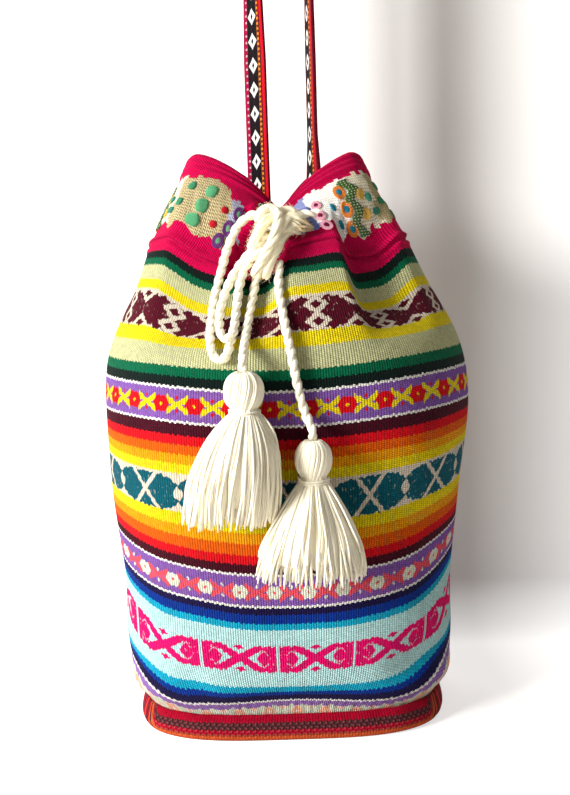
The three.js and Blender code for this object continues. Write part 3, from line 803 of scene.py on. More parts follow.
# Drawstring: its run in the tunnel, the knot and bow at the front, and the two tails
CORD = 5.5
CORD_LEVEL = 338.0
CORD_INSET = 5.95
FRONT_FOLD = 5.0
SLIT_ANGLE = 16.0
MOUTH_POINT = bag_point(np.radians(FRONT_FOLD), CORD_LEVEL)
KNOT_TOP = (4, 2, 1.9)
KNOT_FOOT = (-14, -18, 2.7)
LONG_LOOP = (
    (-8, 3, 2), (-17, 7, 1.6), (-26.5, 2, 1.1), (-33.5, -10, 0.8), (-39, -27, 0.65),
    (-43, -42, 0.65), (-44.9, -55, 0.85), (-45.2, -65, 0.85), (-44.2, -71.6, 0.85),
    (-42.4, -75.2, 0.85), (-39.4, -76.6, 0.85), (-36.4, -75.2, 0.85), (-34.6, -71.6, 0.85),
    (-32.8, -65, 0.85), (-30.7, -55, 0.85), (-29, -42, 0.75), (-26, -24, 1.1), (-13, -11, 1.9),
)
SHORT_LOOP = (
    (-10, -5, 2.2), (-25, -20, 1.9), (-34, -34, 1.75), (-38.6, -46, 1.75), (-39.8, -54, 1.72),
    (-39.4, -60, 1.7), (-38, -63.4, 1.7), (-35.3, -64.7, 1.7), (-32.6, -63.4, 1.7), (-31.2, -60, 1.72),
    (-30.4, -54, 1.75), (-29.3, -46, 1.8), (-27.5, -35, 1.9), (-23, -23, 2.1), (-13, -13, 2.2),
)
LEFT_TAIL = ((-16.5, -25, 1.5), (-20.5, -43.5, 1), (-24, -61, 0.85))
RIGHT_TAIL = (
    (-3.5, -20.8, 1.5), (-4.5, -36, 0.9), (-2, -55, 0.72), (1, -72, 0.7), (5, -95, 0.7), (8, -107, 0.8),
)
CORD_STEP = 0.8
STRAY_REACH = 1.9
FRAY = srgb(206, 178, 128)


def on_front(places):
    across, up, widths = np.array(places, float).reshape(-1, 3).T
    x, z = MOUTH_POINT[0] + across, MOUTH_POINT[2] + up
    return stacked(x, face(x, z) - widths * CORD, z)


def in_cloth(degrees, level, inward):
    phi = np.radians(degrees)
    return bag_point(phi, level) - np.asarray(inward)[..., None] * bag_outward(phi, level)


def slit_route(side):
    turns = FRONT_FOLD + side * SLIT_ANGLE * np.array([0.5, 1, 1.4, 2])
    return in_cloth(turns, CORD_LEVEL, np.array([-1.1 * CORD, -0.3 * CORD, 0.45 * CORD, CORD_INSET]))


def cord_piece(name, path, body, nodes, strays):
    shape = Shape()
    twisted_cord(shape, path, CORD)
    fuzz(shape, path, CORD * 0.46, strays, STRAY_REACH)
    return shape.piece(name, [WOOL], nodes, body)


knot_top, knot_foot = on_front([KNOT_TOP, KNOT_FOOT])
ROUND = np.linspace(FRONT_FOLD + 2.7 * SLIT_ANGLE, 360 + FRONT_FOLD - 2.7 * SLIT_ANGLE, 31)
RUN_PATH = smooth_path(
    np.concatenate([
        knot_top[None], slit_route(1), in_cloth(ROUND, CORD_LEVEL, CORD_INSET),
        slit_route(-1)[::-1], (knot_top + 0.4 * (knot_foot - knot_top))[None],
    ]),
    CORD_STEP,
)
LONG_PATH = smooth_path(on_front(LONG_LOOP), CORD_STEP)
SHORT_PATH = smooth_path(on_front(SHORT_LOOP), CORD_STEP)

# Tassel sizes
TASSEL_HEAD = 23.0
TASSEL_NECK = 15.0
TASSEL_HEAD_LENGTH = 23.0
TASSEL_LENGTH = 88.0
TASSEL_FLATNESS = 0.6
TASSEL_TIE = 2.2
TASSEL_STAND = TASSEL_NECK / 2 + GAP + TASSEL_TIE


def tassel_top(across, up):
    x, z = MOUTH_POINT[0] + across, MOUTH_POINT[2] + up
    levels = z - TASSEL_LENGTH * np.linspace(0, 1, 5)
    return np.array([x, face(x, levels).min() - GAP - TASSEL_STAND, z])


LEFT_TOP = tassel_top(-26, -83)
RIGHT_TOP = tassel_top(12, -123)


def tail_path(route, top):
    ends = top + np.array([[0, 0, CORD], [0, 0, GAP]])
    return smooth_path(np.concatenate([on_front(route), ends]), CORD_STEP)


LEFT_PATH = tail_path(LEFT_TAIL, LEFT_TOP)
RIGHT_PATH = tail_path(RIGHT_TAIL, RIGHT_TOP)

run = cord_piece("drawstring_run", RUN_PATH, "bag", ["drawstring"], 220)
long_loop = cord_piece("bow_long_loop", LONG_PATH, "bag", (), 260)
short_loop = cord_piece("bow_short_loop", SHORT_PATH, "bag", (), 200)
left_tail = cord_piece("left_tail_cord", LEFT_PATH, "left_swing", ["left_tail"], 110)
right_tail = cord_piece("right_tail_cord", RIGHT_PATH, "right_swing", ["right_tail"], 160)

# Knot: thick soft turns of the cord, laid over each other
KNOT_CORD = CORD * 1.25
KNOT_STRAYS = 420
KNOT_STRAY_REACH = 3.0
KNOT_TURNS = (
    ((11.5, 0, 0.5), (8, 3.5, 1.5), (3, 4, 2.3), (-3, -4, 3.0), (-9, -13, 3.3), (-14, -22, 3.0),
     (-18, -31, 1.9)),
    ((9.5, -4, 0.5), (6, -2, 1.5), (0, -5, 2.4), (-4, -11, 2.9), (-8, -19, 3.0), (-11, -26, 2.5),
     (-13, -31, 1.6)),
    ((-16, 2, 1.7), (-13, 7.5, 2.3), (-9, 10, 2.8), (-4.5, 7, 3.2), (-4, -1, 3.7), (-8, -11, 4.0),
     (-14, -21, 3.5), (-18.5, -30, 2.1)),
    ((7, 6, 1.3), (2, 8.5, 2.2), (-5, 6.5, 2.6), (-12, 1.5, 2.7), (-17, -6, 2.4), (-20, -14, 1.8)),
)
knot_shape = Shape()
for turn in KNOT_TURNS:
    turn_path = smooth_path(on_front(turn), CORD_STEP)
    loose_cord(knot_shape, turn_path, KNOT_CORD)
    fuzz(knot_shape, turn_path, CORD * 0.6, KNOT_STRAYS, KNOT_STRAY_REACH)

# Frayed end of the cord, drawn out to a point at the right of the knot
FRAYS = 110
frays = []
for number in range(FRAYS):
    spread = chance.uniform(-1, 1)
    brown = number % 4 == 0
    tip = chance.uniform(13, 18) if brown else chance.uniform(8, 14)
    root = chance.uniform(5, 7) if brown else chance.uniform(-2, 4)
    sway = chance.uniform(-1, 1, 3)
    frays.append([
        (root, 3.4 * spread + 1, 2.6 - 0.5 * brown),
        ((root + tip) / 2, 4.0 * spread - 0.5 + 1.2 * sway[0], 2.0 + 0.5 * sway[1] - 0.3 * brown),
        (tip - 2.5, 2.8 * spread - 1.5 + 1.2 * sway[2], 1.4 + 0.4 * sway[1]),
        (tip, 1.6 * spread - 1.8 + 1.4 * sway[1], 0.9 + 0.4 * sway[0]),
    ])
for number, fray in enumerate(on_front(frays).reshape(FRAYS, 4, 3)):
    strand(knot_shape, smooth_path(fray, 1.6), 0.24, 4, int(number % 4 == 0), shift=chance.uniform(0, 50))
knot = knot_shape.piece("bow_knot", [KNOT_WOOL, wool("fray_wool", FRAY)])


# Cloth of the bag, outside and in, from its sewn lower edge over the hem
AROUND = 320
SHOULDER = 290.0
HEM_FROM = RIM - HEM_DEPTH
SIDE_SEAM = np.radians(90)


# Tucks along the fold line: how proud, how far above it and how wide
TUCKS = ((1.7, 2.6, 1.7), (-0.9, 0, 1.3), (0.9, -2.4, 1.5))
# Dents above the base: depth, turn and its width, level and its height
DENTS = ((4.0, 0.86, 0.17, 50, 13), (2.5, -0.7, 0.12, 42, 12))


def swell(value, width):
    return np.exp(-((value / width) ** 2))


def cloth_relief(phi, height):
    side = swell(np.abs(phi) - SIDE_SEAM, 0.024) * smoothstep(height, 18, 40)
    crease = FOLD_LINE + CREASE_WAVE * np.sin(cloth_across(phi, height) * CREASE_TURNS)
    tuck = sum(proud * swell(height - crease - above, wide) for proud, above, wide in TUCKS)
    rib = np.abs(np.sin((height - HEM_FROM) * np.pi / (HEM_DEPTH / 3)))
    hem = (0.5 + 0.9 * rib) * smoothstep(height, HEM_FROM - 0.8, HEM_FROM + 0.4)
    dent = sum(
        deep * swell(phi - turn, wide) * swell(height - level, tall)
        for deep, turn, wide, level, tall in DENTS
    )
    bulge = 6.0 * np.sin(phi) ** 2 * swell(height - 31, 10)
    shifted = 2.6 * np.sin(phi) * swell(height - 225, 60)
    pucker = 0.35 * (np.sin(phi * 41 + 1.0) + 0.7 * np.sin(phi * 67 + 2.0)) * swell(height - CORD_LEVEL, 11)
    slack = np.sin(phi * 7 + height / 37) * np.sin(height / 23 + phi * 3) * 0.8
    slack = slack * smoothstep(height, 25, 70) * (1 - smoothstep(height, 320, 345))
    seam_pull = np.sin(phi * 90) * 0.35 * swell(height - SEAM_TOP - 4, 6)
    return 1.1 * side + tuck + hem + pucker + slack + seam_pull - dent + bulge + shifted


def bag_cloth():
    turns = np.linspace(-np.pi, np.pi, AROUND + 1)
    outer = np.concatenate([
        np.linspace(LOWER_EDGE, SEAM_TOP, 5, endpoint=False),
        np.linspace(SEAM_TOP, SHOULDER, 118, endpoint=False),
        np.linspace(SHOULDER, HEM_FROM - 2, 62, endpoint=False), np.linspace(HEM_FROM - 2, RIM, 25),
    ])
    inner = np.concatenate([
        np.linspace(RIM, HEM_FROM, 6), np.linspace(HEM_FROM - 2, SEAM_TOP, 44), [LOWER_EDGE],
    ])
    rows, coords = [], []

    def row(height, inward):
        relief = cloth_relief(turns, height) - inward
        rows.append((bag_point(turns, height) + relief[:, None] * bag_outward(turns, height))[:-1])
        coords.append(stacked(cloth_across(turns, height), cloth_level(turns, height)))

    for height in outer:
        row(height, 0.0)
    hem = CLOTH + HEM_EXTRA
    for share in (0.15, 0.5, 0.85):
        row(RIM, hem * share)
        rows[-1][:, 2] += 1.1 * np.sin(np.pi * share)
    for height in inner:
        row(height, hem if height >= HEM_FROM else CLOTH)
    return ring_piece("bag_cloth", STRIPED, "striped_cloth", "bag_body", rows, coords, joined=True)


bag = bag_cloth()

# Threads sewn on the fields round the mouth, in cloth coordinates
THREAD = 0.36
THREAD_STEP = 0.58
RING_THREAD = 0.56
RING_LIFT = 0.4
EYES = ((85.7, 347.1), (87.3, 338.7), (88, 330.3))
PLUMS = ((-54, 340.8), (-61.5, 333.9), (-67.8, 328))
BERRIES = ((0, 346), (0, 338), (0, 330), (57.8, 343.2), (55.1, 334.6), (54.7, 326.9))
FLOWERS = ((42.5, 341.0), (40.5, 330.0))
SEWN = (
    ("oval", srgb(70, 150, 108), 3.2, 2.4, ((-104.9, 349.3), (-109.3, 339.8))),
    ("oval", srgb(96, 176, 124), 5.6, 3.4, ((-85.7, 348.2), (-89.5, 340.6), (-92.5, 333.2))),
    ("oval", srgb(208, 18, 42), 3.4, 1.7, ((-68.2, 341.1), (-75.8, 334.3))),
    ("ring", srgb(110, 52, 118), 4.4, 3.1, PLUMS),
    ("oval", srgb(112, 176, 132), 2.4, 1.7, PLUMS),
    ("ring", srgb(236, 136, 56), 4.8, 3.3, EYES),
    ("oval", srgb(22, 138, 168), 2.9, 2.0, EYES),
    ("ring", srgb(232, 164, 180), 4.6, 3.1, BERRIES),
    ("oval", srgb(112, 14, 52), 3.2, 2.1, BERRIES),
    ("oval", srgb(20, 132, 156), 2.9, 2.1, ((14, 342), (14, 333), (72.8, 339.4), (77, 332))),
    ("ring", srgb(238, 190, 84), 3.0, 2.2, ((-14, 343), (-14, 334), (102.9, 344.1), (104.4, 335.6))),
    ("oval", srgb(64, 150, 122), 2.9, 2.0, ((110.4, 342.2), (114.9, 335.8))),
)
PETAL = srgb(118, 132, 196)
FLOWER_HEART = srgb(206, 16, 40)
OLIVE = srgb(66, 108, 36)
SPECK = srgb(226, 226, 204)
COLUMNS = (-26.0, 95.5)
COLUMN_WIDTH = 4.8
COLUMN_SWAY = 3.8
COLUMN_PERIOD = 9.5
COLUMN_LEVELS = np.arange(326.6, 353.6, 0.6)


def on_cloth(across, level, lift):
    across, level = np.broadcast_arrays((across + GIRTH / 2) % GIRTH - GIRTH / 2, level)
    phi = np.array([cloth_turn(a, h) for a, h in zip(across, level)])
    return bag_point(phi, level) + (cloth_relief(phi, level) + lift)[:, None] * bag_outward(phi, level)


# An oval filled with threads laid side by side across it
def sewn_oval(shape, slot, across, level, half_across, half_up, puff=0.7):
    lines = max(3, int(round(2 * half_up / THREAD_STEP)))
    share = np.linspace(-1, 1, 6)
    for y in np.linspace(-1, 1, lines + 2)[1:-1]:
        reach = half_across * np.sqrt(1 - y * y) * chance.uniform(0.92, 1.08)
        lift = 0.2 + puff * np.sqrt(1 - y * y) * (1 - share**2)
        path = on_cloth(across + reach * share, level + half_up * y, lift)
        strand(shape, path, THREAD, 5, slot, shift=chance.uniform(0, 40))


def sewn_ring(shape, slot, across, level, half_across, half_up):
    angle = np.linspace(0, 2 * np.pi, 28)
    for inward in (0.0, 0.8, 1.5):
        around = across + (half_across - inward) * np.cos(angle)
        path = on_cloth(around, level + (half_up - inward) * np.sin(angle), RING_LIFT)
        strand(shape, path, RING_THREAD * (1 + 0.16 * np.cos(angle * 9 + inward * 2)), 6, slot)


# A zigzag column of short threads with pale specks along it
def sewn_column(shape, slot, speck_slot, across):
    for number, level in enumerate(COLUMN_LEVELS):
        phase = level / COLUMN_PERIOD
        middle = across + COLUMN_SWAY * (4 * abs(phase - np.floor(phase + 0.5)) - 1)
        share = np.linspace(-1, 1, 5)
        path = on_cloth(middle + COLUMN_WIDTH * share, level, 0.35 + 0.5 * (1 - share**2))
        strand(shape, path, THREAD * 1.05, 5, slot, shift=chance.uniform(0, 40))
        if number % 2 == 0:
            for edge in np.array([-0.95, -0.35, 0.25, 0.85]) + 0.1 * (number % 4):
                places = middle + COLUMN_WIDTH * edge + np.array([-0.45, 0, 0.45])
                lift = 0.8 + 0.5 * max(0, 1 - edge**2)
                dot = on_cloth(places, level, lift)
                strand(shape, dot, THREAD * np.array([0.6, 1, 0.6]), 5, speck_slot)


def embroidery():
    paints = list(dict.fromkeys([paint for _, paint, *_ in SEWN] + [PETAL, FLOWER_HEART, OLIVE, SPECK]))
    threads = [wool(f"thread_{i}", paint, 0.17, 0.04, 1.0) for i, paint in enumerate(paints)]
    shape = Shape()
    for shift in FIELD_REPEAT * np.array([-1, 0, 1]):
        for kind, paint, half_across, half_up, places in SEWN:
            sew = sewn_oval if kind == "oval" else sewn_ring
            for across, level in places:
                sew(shape, paints.index(paint), across + shift, level, half_across, half_up)
        for across, level in FLOWERS:
            for angle in np.radians([45, 135, 225, 315]):
                petal = (across + shift + 4.6 * np.cos(angle), level + 3.2 * np.sin(angle))
                sewn_oval(shape, paints.index(PETAL), *petal, 4.2, 2.5)
            sewn_oval(shape, paints.index(FLOWER_HEART), across + shift, level, 1.9, 1.3, 0.9)
        for across in COLUMNS:
            sewn_column(shape, paints.index(OLIVE), paints.index(SPECK), across + shift)
    shape.piece("embroidery", threads)


embroidery()

# Tunnel strip sewn inside the mouth
TUNNEL_FOOT = 328.5
TUNNEL_HEAD = 347.5
TUNNEL_CLOTH = 1.2
TUNNEL_ROOM = 7.3


def tunnel_strip():
    turns = np.linspace(-np.pi, np.pi, 241)
    levels = np.linspace(0, 1, 15)
    bow = np.interp(levels, [0, 0.22, 0.78, 1], [0, 1, 1, 0])
    rows, coords = [], []
    for inner in (True, False):
        order = range(15) if inner else range(14, -1, -1)
        for i in order:
            height = TUNNEL_FOOT + levels[i] * (TUNNEL_HEAD - TUNNEL_FOOT)
            inward = CLOTH + 1.5 * GAP + TUNNEL_ROOM * bow[i] + (TUNNEL_CLOTH if inner else 0)
            points = bag_point(turns, height) - inward * bag_outward(turns, height)
            rows.append(points[:-1])
            coords.append(stacked(cloth_across(turns, height), height))
    rows, coords = rows[::-1], coords[::-1]
    return ring_piece("tunnel_cloth", MOUTH, "mouth_cloth", "tunnel_strip", rows, coords, joined=True)


tunnel = tunnel_strip()

# Base: one cloth turned up all round, with a band that the bag is sewn into
BASE_HALF = (103.0, 71.0)
BASE_SQUARE = 3.4
BAND_HEIGHT = 17.0
PANEL_INSET = 7.3


def base_ring(turns, inset):
    across = np.abs(np.sin(turns)) / (BASE_HALF[0] - inset)
    ahead = np.abs(np.cos(turns)) / (BASE_HALF[1] - inset)
    reach = (across**BASE_SQUARE + ahead**BASE_SQUARE) ** (-1 / BASE_SQUARE)
    return stacked(reach * np.sin(turns), -reach * np.cos(turns))


def base_band():
    turns = np.linspace(-np.pi, np.pi, 361)
    section = [
        (8.6, 0.3, -6), (6.5, 0.1, -4), (5, 0, -2), (3, 0.5, 0), (1.5, 1.5, 1.5), (0.6, 3, 3.2),
        (0.1, 5, 5.2), (0.1, 7, 7.2), (0.5, 9, 9.3), (1, 11, 11.3), (1.6, 13, 13.4), (2.2, 15, 15.4),
        (2.7, 16.5, 17), (3.4, 17.5, 18.3), (4.2, 17.5, 19.2), (4.9, 16.6, 20), (4.85, 12, 24),
        (5.1, 8, 28), (5.4, 4.5, 31), (6.8, 3.4, 33), (8.6, 3.3, 35),
    ]
    outline = base_ring(turns, 0)
    facing = unit(stacked(np.gradient(outline[:, 1]), -np.gradient(outline[:, 0])))
    arc = run_along(outline)
    corner = np.abs(np.sin(2 * turns)) ** 6
    rows, coords = [], []
    for inset, z, lap in section:
        plan = base_ring(turns, inset)
        lift = z / BAND_HEIGHT * np.clip(z, 0, 1)
        ripple = 0.5 * lift * np.sin(turns * 24 + 0.6) * corner
        plan = plan + ripple[:, None] * facing
        rows.append(stacked(*plan.T, z)[:-1])
        ahead = smoothstep(np.abs(facing[:, 1]), 0.3, 0.75)
        plain = np.sign(outline[:, 1]) * (BASE_HALF[1] + lap)
        coords.append(stacked(arc, outline[:, 1] + ahead * (plain - outline[:, 1])))
    return ring_piece("base_band_cloth", BASE, "base_cloth", "base_band", rows, coords, joined=True)


band = base_band()


def base_panel():
    turns = np.linspace(-np.pi, np.pi, 181)
    section = ((0.04, 3.0), (1.0, 3.0), (1.0, 2.6), (1.0, 0.4), (0.995, 0.05), (0.04, 0.05))
    rows, coords = [], []
    for share, z in section:
        plan = base_ring(turns, PANEL_INSET) * share
        rows.append(stacked(*plan.T, z)[:-1])
        coords.append(plan)
    rows, coords = rows[::-1], coords[::-1]
    return ring_piece("base_panel_cloth", BASE, "base_cloth", "base_panel", rows, coords, caps=True)


panel = base_panel()


# Tassel: a wound head, a tied neck and a skirt of loose strands
HEAD_STRANDS = 54
STRANDS = 380
YARN = 0.76
SKIRT_LENGTH = TASSEL_LENGTH - TASSEL_HEAD_LENGTH
TIE_TURNS = 2.6
TIE_YARN = 1.7


def head_radius(down, width):
    share = np.clip(down / TASSEL_HEAD_LENGTH, 0, 1)
    ball = np.sqrt(np.maximum(0.03, 1 - np.abs((share - 0.47) / 0.5) ** 2.4))
    return np.maximum(width / 2 * ball, TASSEL_NECK / 2 * smoothstep(share, 0.45, 0.95))


def tassel(side, top, head, lean, flare, skirt, drop):
    shape = Shape()
    neck, front = TASSEL_NECK / 2, top[1] + TASSEL_STAND - YARN
    skirt_top = top[2] - TASSEL_HEAD_LENGTH + 1

    # Half width and half depth of the skirt at a share of its length
    def skirt_size(share):
        half = neck - YARN + (skirt / 2 - neck) * (1 - (1 - share) ** flare)
        return half, half * (1 + (TASSEL_FLATNESS - 1) * share)

    down, turn = np.linspace(0.2, TASSEL_HEAD_LENGTH, 17), circle(24)
    radius = (head_radius(down, head) - YARN * 1.6)[:, None]
    core = stacked(radius * np.cos(turn), radius * np.sin(turn), -down[:, None])
    around = stacked(np.linspace(0, 60, 25), down[:, None])
    shape.grid((top + core)[::-1], around[::-1], around=True, caps=True)
    for angle in circle(HEAD_STRANDS):
        turn = angle + 0.22 * np.sin(down / 9 + 1.5) + chance.normal(0, 0.05)
        radius = head_radius(down, head) - YARN * 1.1 + chance.normal(0, 0.22)
        path = top + stacked(radius * np.cos(turn), radius * np.sin(turn), -down)
        strand(shape, path, YARN * 1.2, 6, shift=chance.uniform(0, 50))

    share, turn = np.linspace(0, 0.93, 14)[:, None], circle(32)
    filled = 0.9 + 0.03 * np.sin(turn * 9)
    half, depth = (size * filled for size in skirt_size(share))
    y = top[1] - np.maximum(0, depth / 0.9 - TASSEL_STAND) + depth * np.sin(turn)
    filling = stacked(
        top[0] + lean * share + half * np.cos(turn), np.minimum(y, front),
        skirt_top - (SKIRT_LENGTH - drop - 6) * share,
    )
    around = stacked(np.linspace(0, 90, 33), 60 * share)
    shape.grid(filling[::-1], around[::-1], around=True, caps=True)

    share = np.linspace(0, 1, 13)
    half, depth = skirt_size(share)
    taper = np.r_[np.full(11, YARN), YARN * 0.95, YARN * 0.6]
    for number in range(STRANDS):
        angle = chance.uniform(0, 2 * np.pi)
        spread = np.sqrt(chance.uniform(0.66 if number % 3 else 0.0, 1))
        length = SKIRT_LENGTH + min(chance.normal(0, 2.4), 4) - drop
        if number % 16 == 0:
            length = length * chance.uniform(0.6, 0.95)
        wave = 0.9 * share * np.sin(share * chance.uniform(3, 11) + chance.uniform(0, 6))
        x = top[0] + lean * share + half * spread * np.cos(angle) + wave
        y = top[1] - np.maximum(0, depth - TASSEL_STAND) + depth * spread * np.sin(angle)
        path = stacked(x, np.minimum(y + 0.7 * wave, front), skirt_top - length * share)
        strand(shape, path, taper * chance.uniform(0.85, 1.1), 5, shift=chance.uniform(0, 90))
    body = f"{side}_swing"
    made = shape.piece(f"{side}_tassel_wool", [WOOL], [f"{side}_tassel"], body)

    tie = Shape()
    turn = np.linspace(0, 2 * np.pi * TIE_TURNS, 90)
    reach = neck + GAP + 0.75
    coil = stacked(reach * np.cos(turn), reach * np.sin(turn), (turn / turn[-1] * 2 - 1) * TIE_YARN)
    twisted_cord(tie, top - [0, 0, TASSEL_HEAD_LENGTH] + coil, TIE_YARN, pitch=3.2, sides=6)
    return made, tie.piece(f"{side}_tassel_tie_wool", [WOOL], [f"{side}_tassel_tie"], body)


# Width of the head, lean, flare and width of the skirt, and how much shorter than the solid it hangs
left_pieces = tassel("left", LEFT_TOP, TASSEL_HEAD, -10.0, 3.2, 55.0, 4.5)
right_pieces = tassel("right", RIGHT_TOP, TASSEL_HEAD * 0.9, -3.0, 1.6, 64.0, 12.0)

# Strap: a flat band from inside the back, up over an arch and down again
STRAP_THICKNESS = 1.8
STRAP_HALF = 19.0
STRAP_MIDDLE = 7.0
STRAP_BACK = 34.0
STRAP_TOP = 610.0
STRAP_SEWN = 20.0
STRAP_BELOW_TUNNEL = 7.0
STRAP_TURN = {-1: np.radians(43), 1: np.radians(76)}
WALL_SLANT = 1.2
TUNNEL_BACK = CLOTH + TUNNEL_ROOM + 2 * GAP + TUNNEL_CLOTH


def back_level(x, height):
    phi = solve(np.pi / 2, 1.5 * np.pi, np.float64(-x), lambda turn: -bag_point(turn, height)[..., 0])
    return bag_point(phi, height)[2]


def strap_leg(side):
    x, turn = STRAP_MIDDLE + side * STRAP_HALF, STRAP_TURN[side]

    def against(below, stand, share):
        z = RIM - below
        low, high = face(x + STRAP_WIDTH / 2 * np.array([-1, 1]), np.full(2, z), np.pi)
        flat = np.arctan2(low - high, STRAP_WIDTH)
        turned = flat + (turn - flat) * share
        swing = STRAP_WIDTH / 2 * abs(np.sin(turned - flat))
        return (x, (low + high) / 2 - stand * WALL_SLANT - swing, z, turned)

    inner = x - side * STRAP_WIDTH / 2
    sewn_below = RIM - back_level(inner, TUNNEL_FOOT) + STRAP_BELOW_TUNNEL
    sewn_stand = CLOTH + 5 * GAP + STRAP_THICKNESS / 2
    sewn = [against(sewn_below + down * STRAP_SEWN, sewn_stand, 0) for down in (1, 0.5, 0)]
    tunnel_below = RIM - back_level(inner, CORD_LEVEL)
    past = [
        against(tunnel_below + down * (TUNNEL_HEAD - TUNNEL_FOOT), TUNNEL_BACK + STRAP_THICKNESS, share)
        for down, share in ((0.65, 0.2), (0, 0.5), (-0.55, 0.8))
    ]
    low, high = RIM + STRAP_WIDTH, STRAP_TOP - STRAP_HALF
    straight = [
        (x, STRAP_BACK, low + (high - low) * share, turn + (np.pi / 2 - turn) * smoothstep(share, 0.25, 1))
        for share in (0, 0.25, 0.5, 0.75, 1)
    ]
    return sewn + past + straight


def shoulder_strap():
    arch = [
        (STRAP_MIDDLE + STRAP_HALF * np.cos(angle), STRAP_BACK,
         STRAP_TOP - STRAP_HALF + STRAP_HALF * np.sin(angle), np.pi / 2)
        for angle in np.radians(180 - 22.5 * np.arange(1, 8))
    ]
    stations = np.array(strap_leg(-1) + arch + strap_leg(1)[::-1])
    arc = run_along(stations[:, :3])
    path = smooth_path(stations[:, :3], 2.0)
    run_length = run_along(path)
    turn = np.interp(run_length / run_length[-1], arc / arc[-1], stations[:, 3])
    along = unit(np.gradient(path, axis=0))
    wide = stacked(np.cos(turn), -np.sin(turn), 0)
    wide = unit(wide - along * np.sum(wide * along, axis=1, keepdims=True))
    thick = np.cross(along, wide)
    half, deep = STRAP_WIDTH / 2, STRAP_THICKNESS / 2
    section = [(share * half, deep) for share in np.linspace(-0.96, 0.96, 13)]
    section += [(half, deep * 0.4), (half, -deep * 0.4)]
    section += [(share * half, -deep) for share in np.linspace(0.96, -0.96, 13)]
    section += [(-half, -deep * 0.4), (-half, deep * 0.4)]
    section = np.array(section)
    ridge = 0.18 * np.cos(section[:, 0] * 2 * np.pi / 5) * np.sign(section[:, 1])
    points = (
        path[:, None]
        + section[None, :, :1] * wide[:, None]
        + (section[:, 1] + ridge)[None, :, None] * thick[:, None]
    )
    across = np.r_[section[:, 0], section[:1, 0]]
    coords = stacked(across[None], run_length[:, None])
    points, coords = points[:, ::-1], coords[:, ::-1]
    made = ring_piece("strap_webbing", STRAP, "strap_cloth", "shoulder_strap", points, coords, caps=True)
    return made, run_length[-1]


strap, strap_length = shoulder_strap()


# White floor that curves up into a wall, see-through from behind
WALL = 0.115
BEND = 0.04
STAGE_HALF = 2.5
WALL_TOP = 2.6
WALL_COLOUR = (0.74, 0.71, 0.68, 1)
WHITE_LIGHT = (1, 1, 1, 1)
WALL_GLOW = 0.03
EDGE_GLOW = 0.5
EDGE_FROM, EDGE_RISE = 0.15, 9
LEFT_GLOW = 0.5
LEFT_FROM, LEFT_RISE = 0.13, 6
FLOOR_GLOW = 0.5


# One for the rays by which a surface itself is seen
def seen_rays(tree):
    rays = add_node(tree, "LightPath").outputs
    seen = [Field(tree, rays[f"Is {kind} Ray"]) for kind in ("Camera", "Glossy", "Transmission")]
    return (seen[0] + seen[1] + seen[2]).least(1.0)


def mix_shaders(tree, share, first, second, output):
    pick = add_node(tree, "MixShader", {0: share, 1: first.outputs[0], 2: second.outputs[0]})
    feed(tree, tree.nodes[output], {"Surface": pick.outputs[0]})


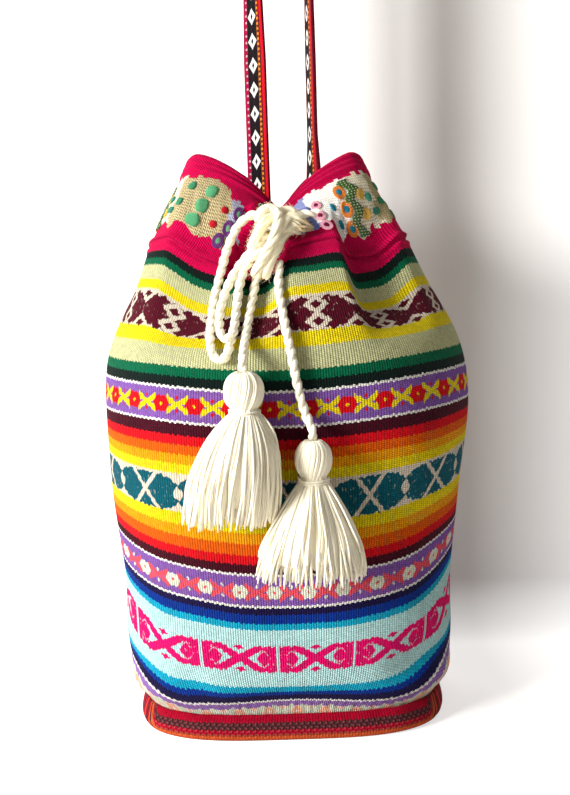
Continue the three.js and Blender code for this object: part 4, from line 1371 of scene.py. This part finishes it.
def stage():
    turn = np.linspace(0, np.pi / 2, 14)
    curve = zip(WALL - BEND + BEND * np.sin(turn), BEND - BEND * np.cos(turn))
    line = [(-STAGE_HALF, 0.0), *curve, (WALL, WALL_TOP)]
    points = [(x, y, z) for y, z in line for x in (-STAGE_HALF, STAGE_HALF)]
    faces = [(2 * i, 2 * i + 1, 2 * i + 3, 2 * i + 2) for i in range(len(line) - 1)]
    mesh = bpy.data.meshes.new("backdrop")
    mesh.from_pydata(points, [], faces)
    mesh.polygons.foreach_set("use_smooth", [True] * len(faces))
    made = bpy.data.objects.new("backdrop", mesh)
    scene.collection.objects.link(made)
    material = bpy.data.materials.new("backdrop")
    material.use_nodes = True
    mesh.materials.append(material)
    tree = material.node_tree
    shader = tree.nodes["Principled BSDF"]
    spot = add_node(tree, "NewGeometry").outputs
    x = Field(tree, add_node(tree, "SeparateXYZ", {0: spot["Position"]}).outputs[0])
    flat = abs(Field(tree, add_node(tree, "SeparateXYZ", {0: spot["Normal"]}).outputs[2]))
    edge = ((x - EDGE_FROM) * EDGE_RISE).most(0.0).least(1.0) * EDGE_GLOW
    left = ((LEFT_FROM - x) * LEFT_RISE).most(0.0).least(1.0) * LEFT_GLOW
    level = flat * (FLOOR_GLOW - WALL_GLOW) + WALL_GLOW + edge + left
    feed(tree, shader, {
        "Base Color": WALL_COLOUR, "Roughness": 1.0, "Specular IOR Level": 0.0,
        "Emission Color": WHITE_LIGHT, "Emission Strength": seen_rays(tree) * level,
    })
    shadow = Field(tree, add_node(tree, "LightPath").outputs["Is Shadow Ray"])
    through = Field(tree, spot["Backfacing"]).most(shadow)
    mix_shaders(tree, through, shader, add_node(tree, "BsdfTransparent"), "Material Output")


stage()

# Soft light from the front left, a weak fill and a light from behind: place, size and power
LAMP_AIM = (0, 0, 0.2)
LAMPS = (
    ("key", (-1.86, -1.18, 0.85), 0.7, 97),
    ("fill", (0.7, -1.7, 0.7), 1.4, 2.4),
    ("back", (-0.5, 1.7, 0.9), 1.2, 25),
)
for name, place, size, power in LAMPS:
    lamp = bpy.data.lights.new(name, "AREA")
    lamp.shape = "SQUARE"
    lamp.size = size
    lamp.energy = power
    made = bpy.data.objects.new(name, lamp)
    made.location = place
    made.rotation_euler = (Vector(LAMP_AIM) - Vector(place)).to_track_quat("-Z", "Y").to_euler()
    scene.collection.objects.link(made)

# A dim warm surrounding that is seen as white
WORLD_LIGHT = 0.155
WORLD_COLOUR = (1, 0.96, 0.91, 1)
scene.world = bpy.data.worlds.new("world")
scene.world.use_nodes = True
world_tree = scene.world.node_tree
dim = world_tree.nodes["Background"]
feed(world_tree, dim, {"Color": WORLD_COLOUR, "Strength": WORLD_LIGHT})
white = add_node(world_tree, "Background", {"Color": WHITE_LIGHT})
mix_shaders(world_tree, seen_rays(world_tree), dim, white, "World Output")
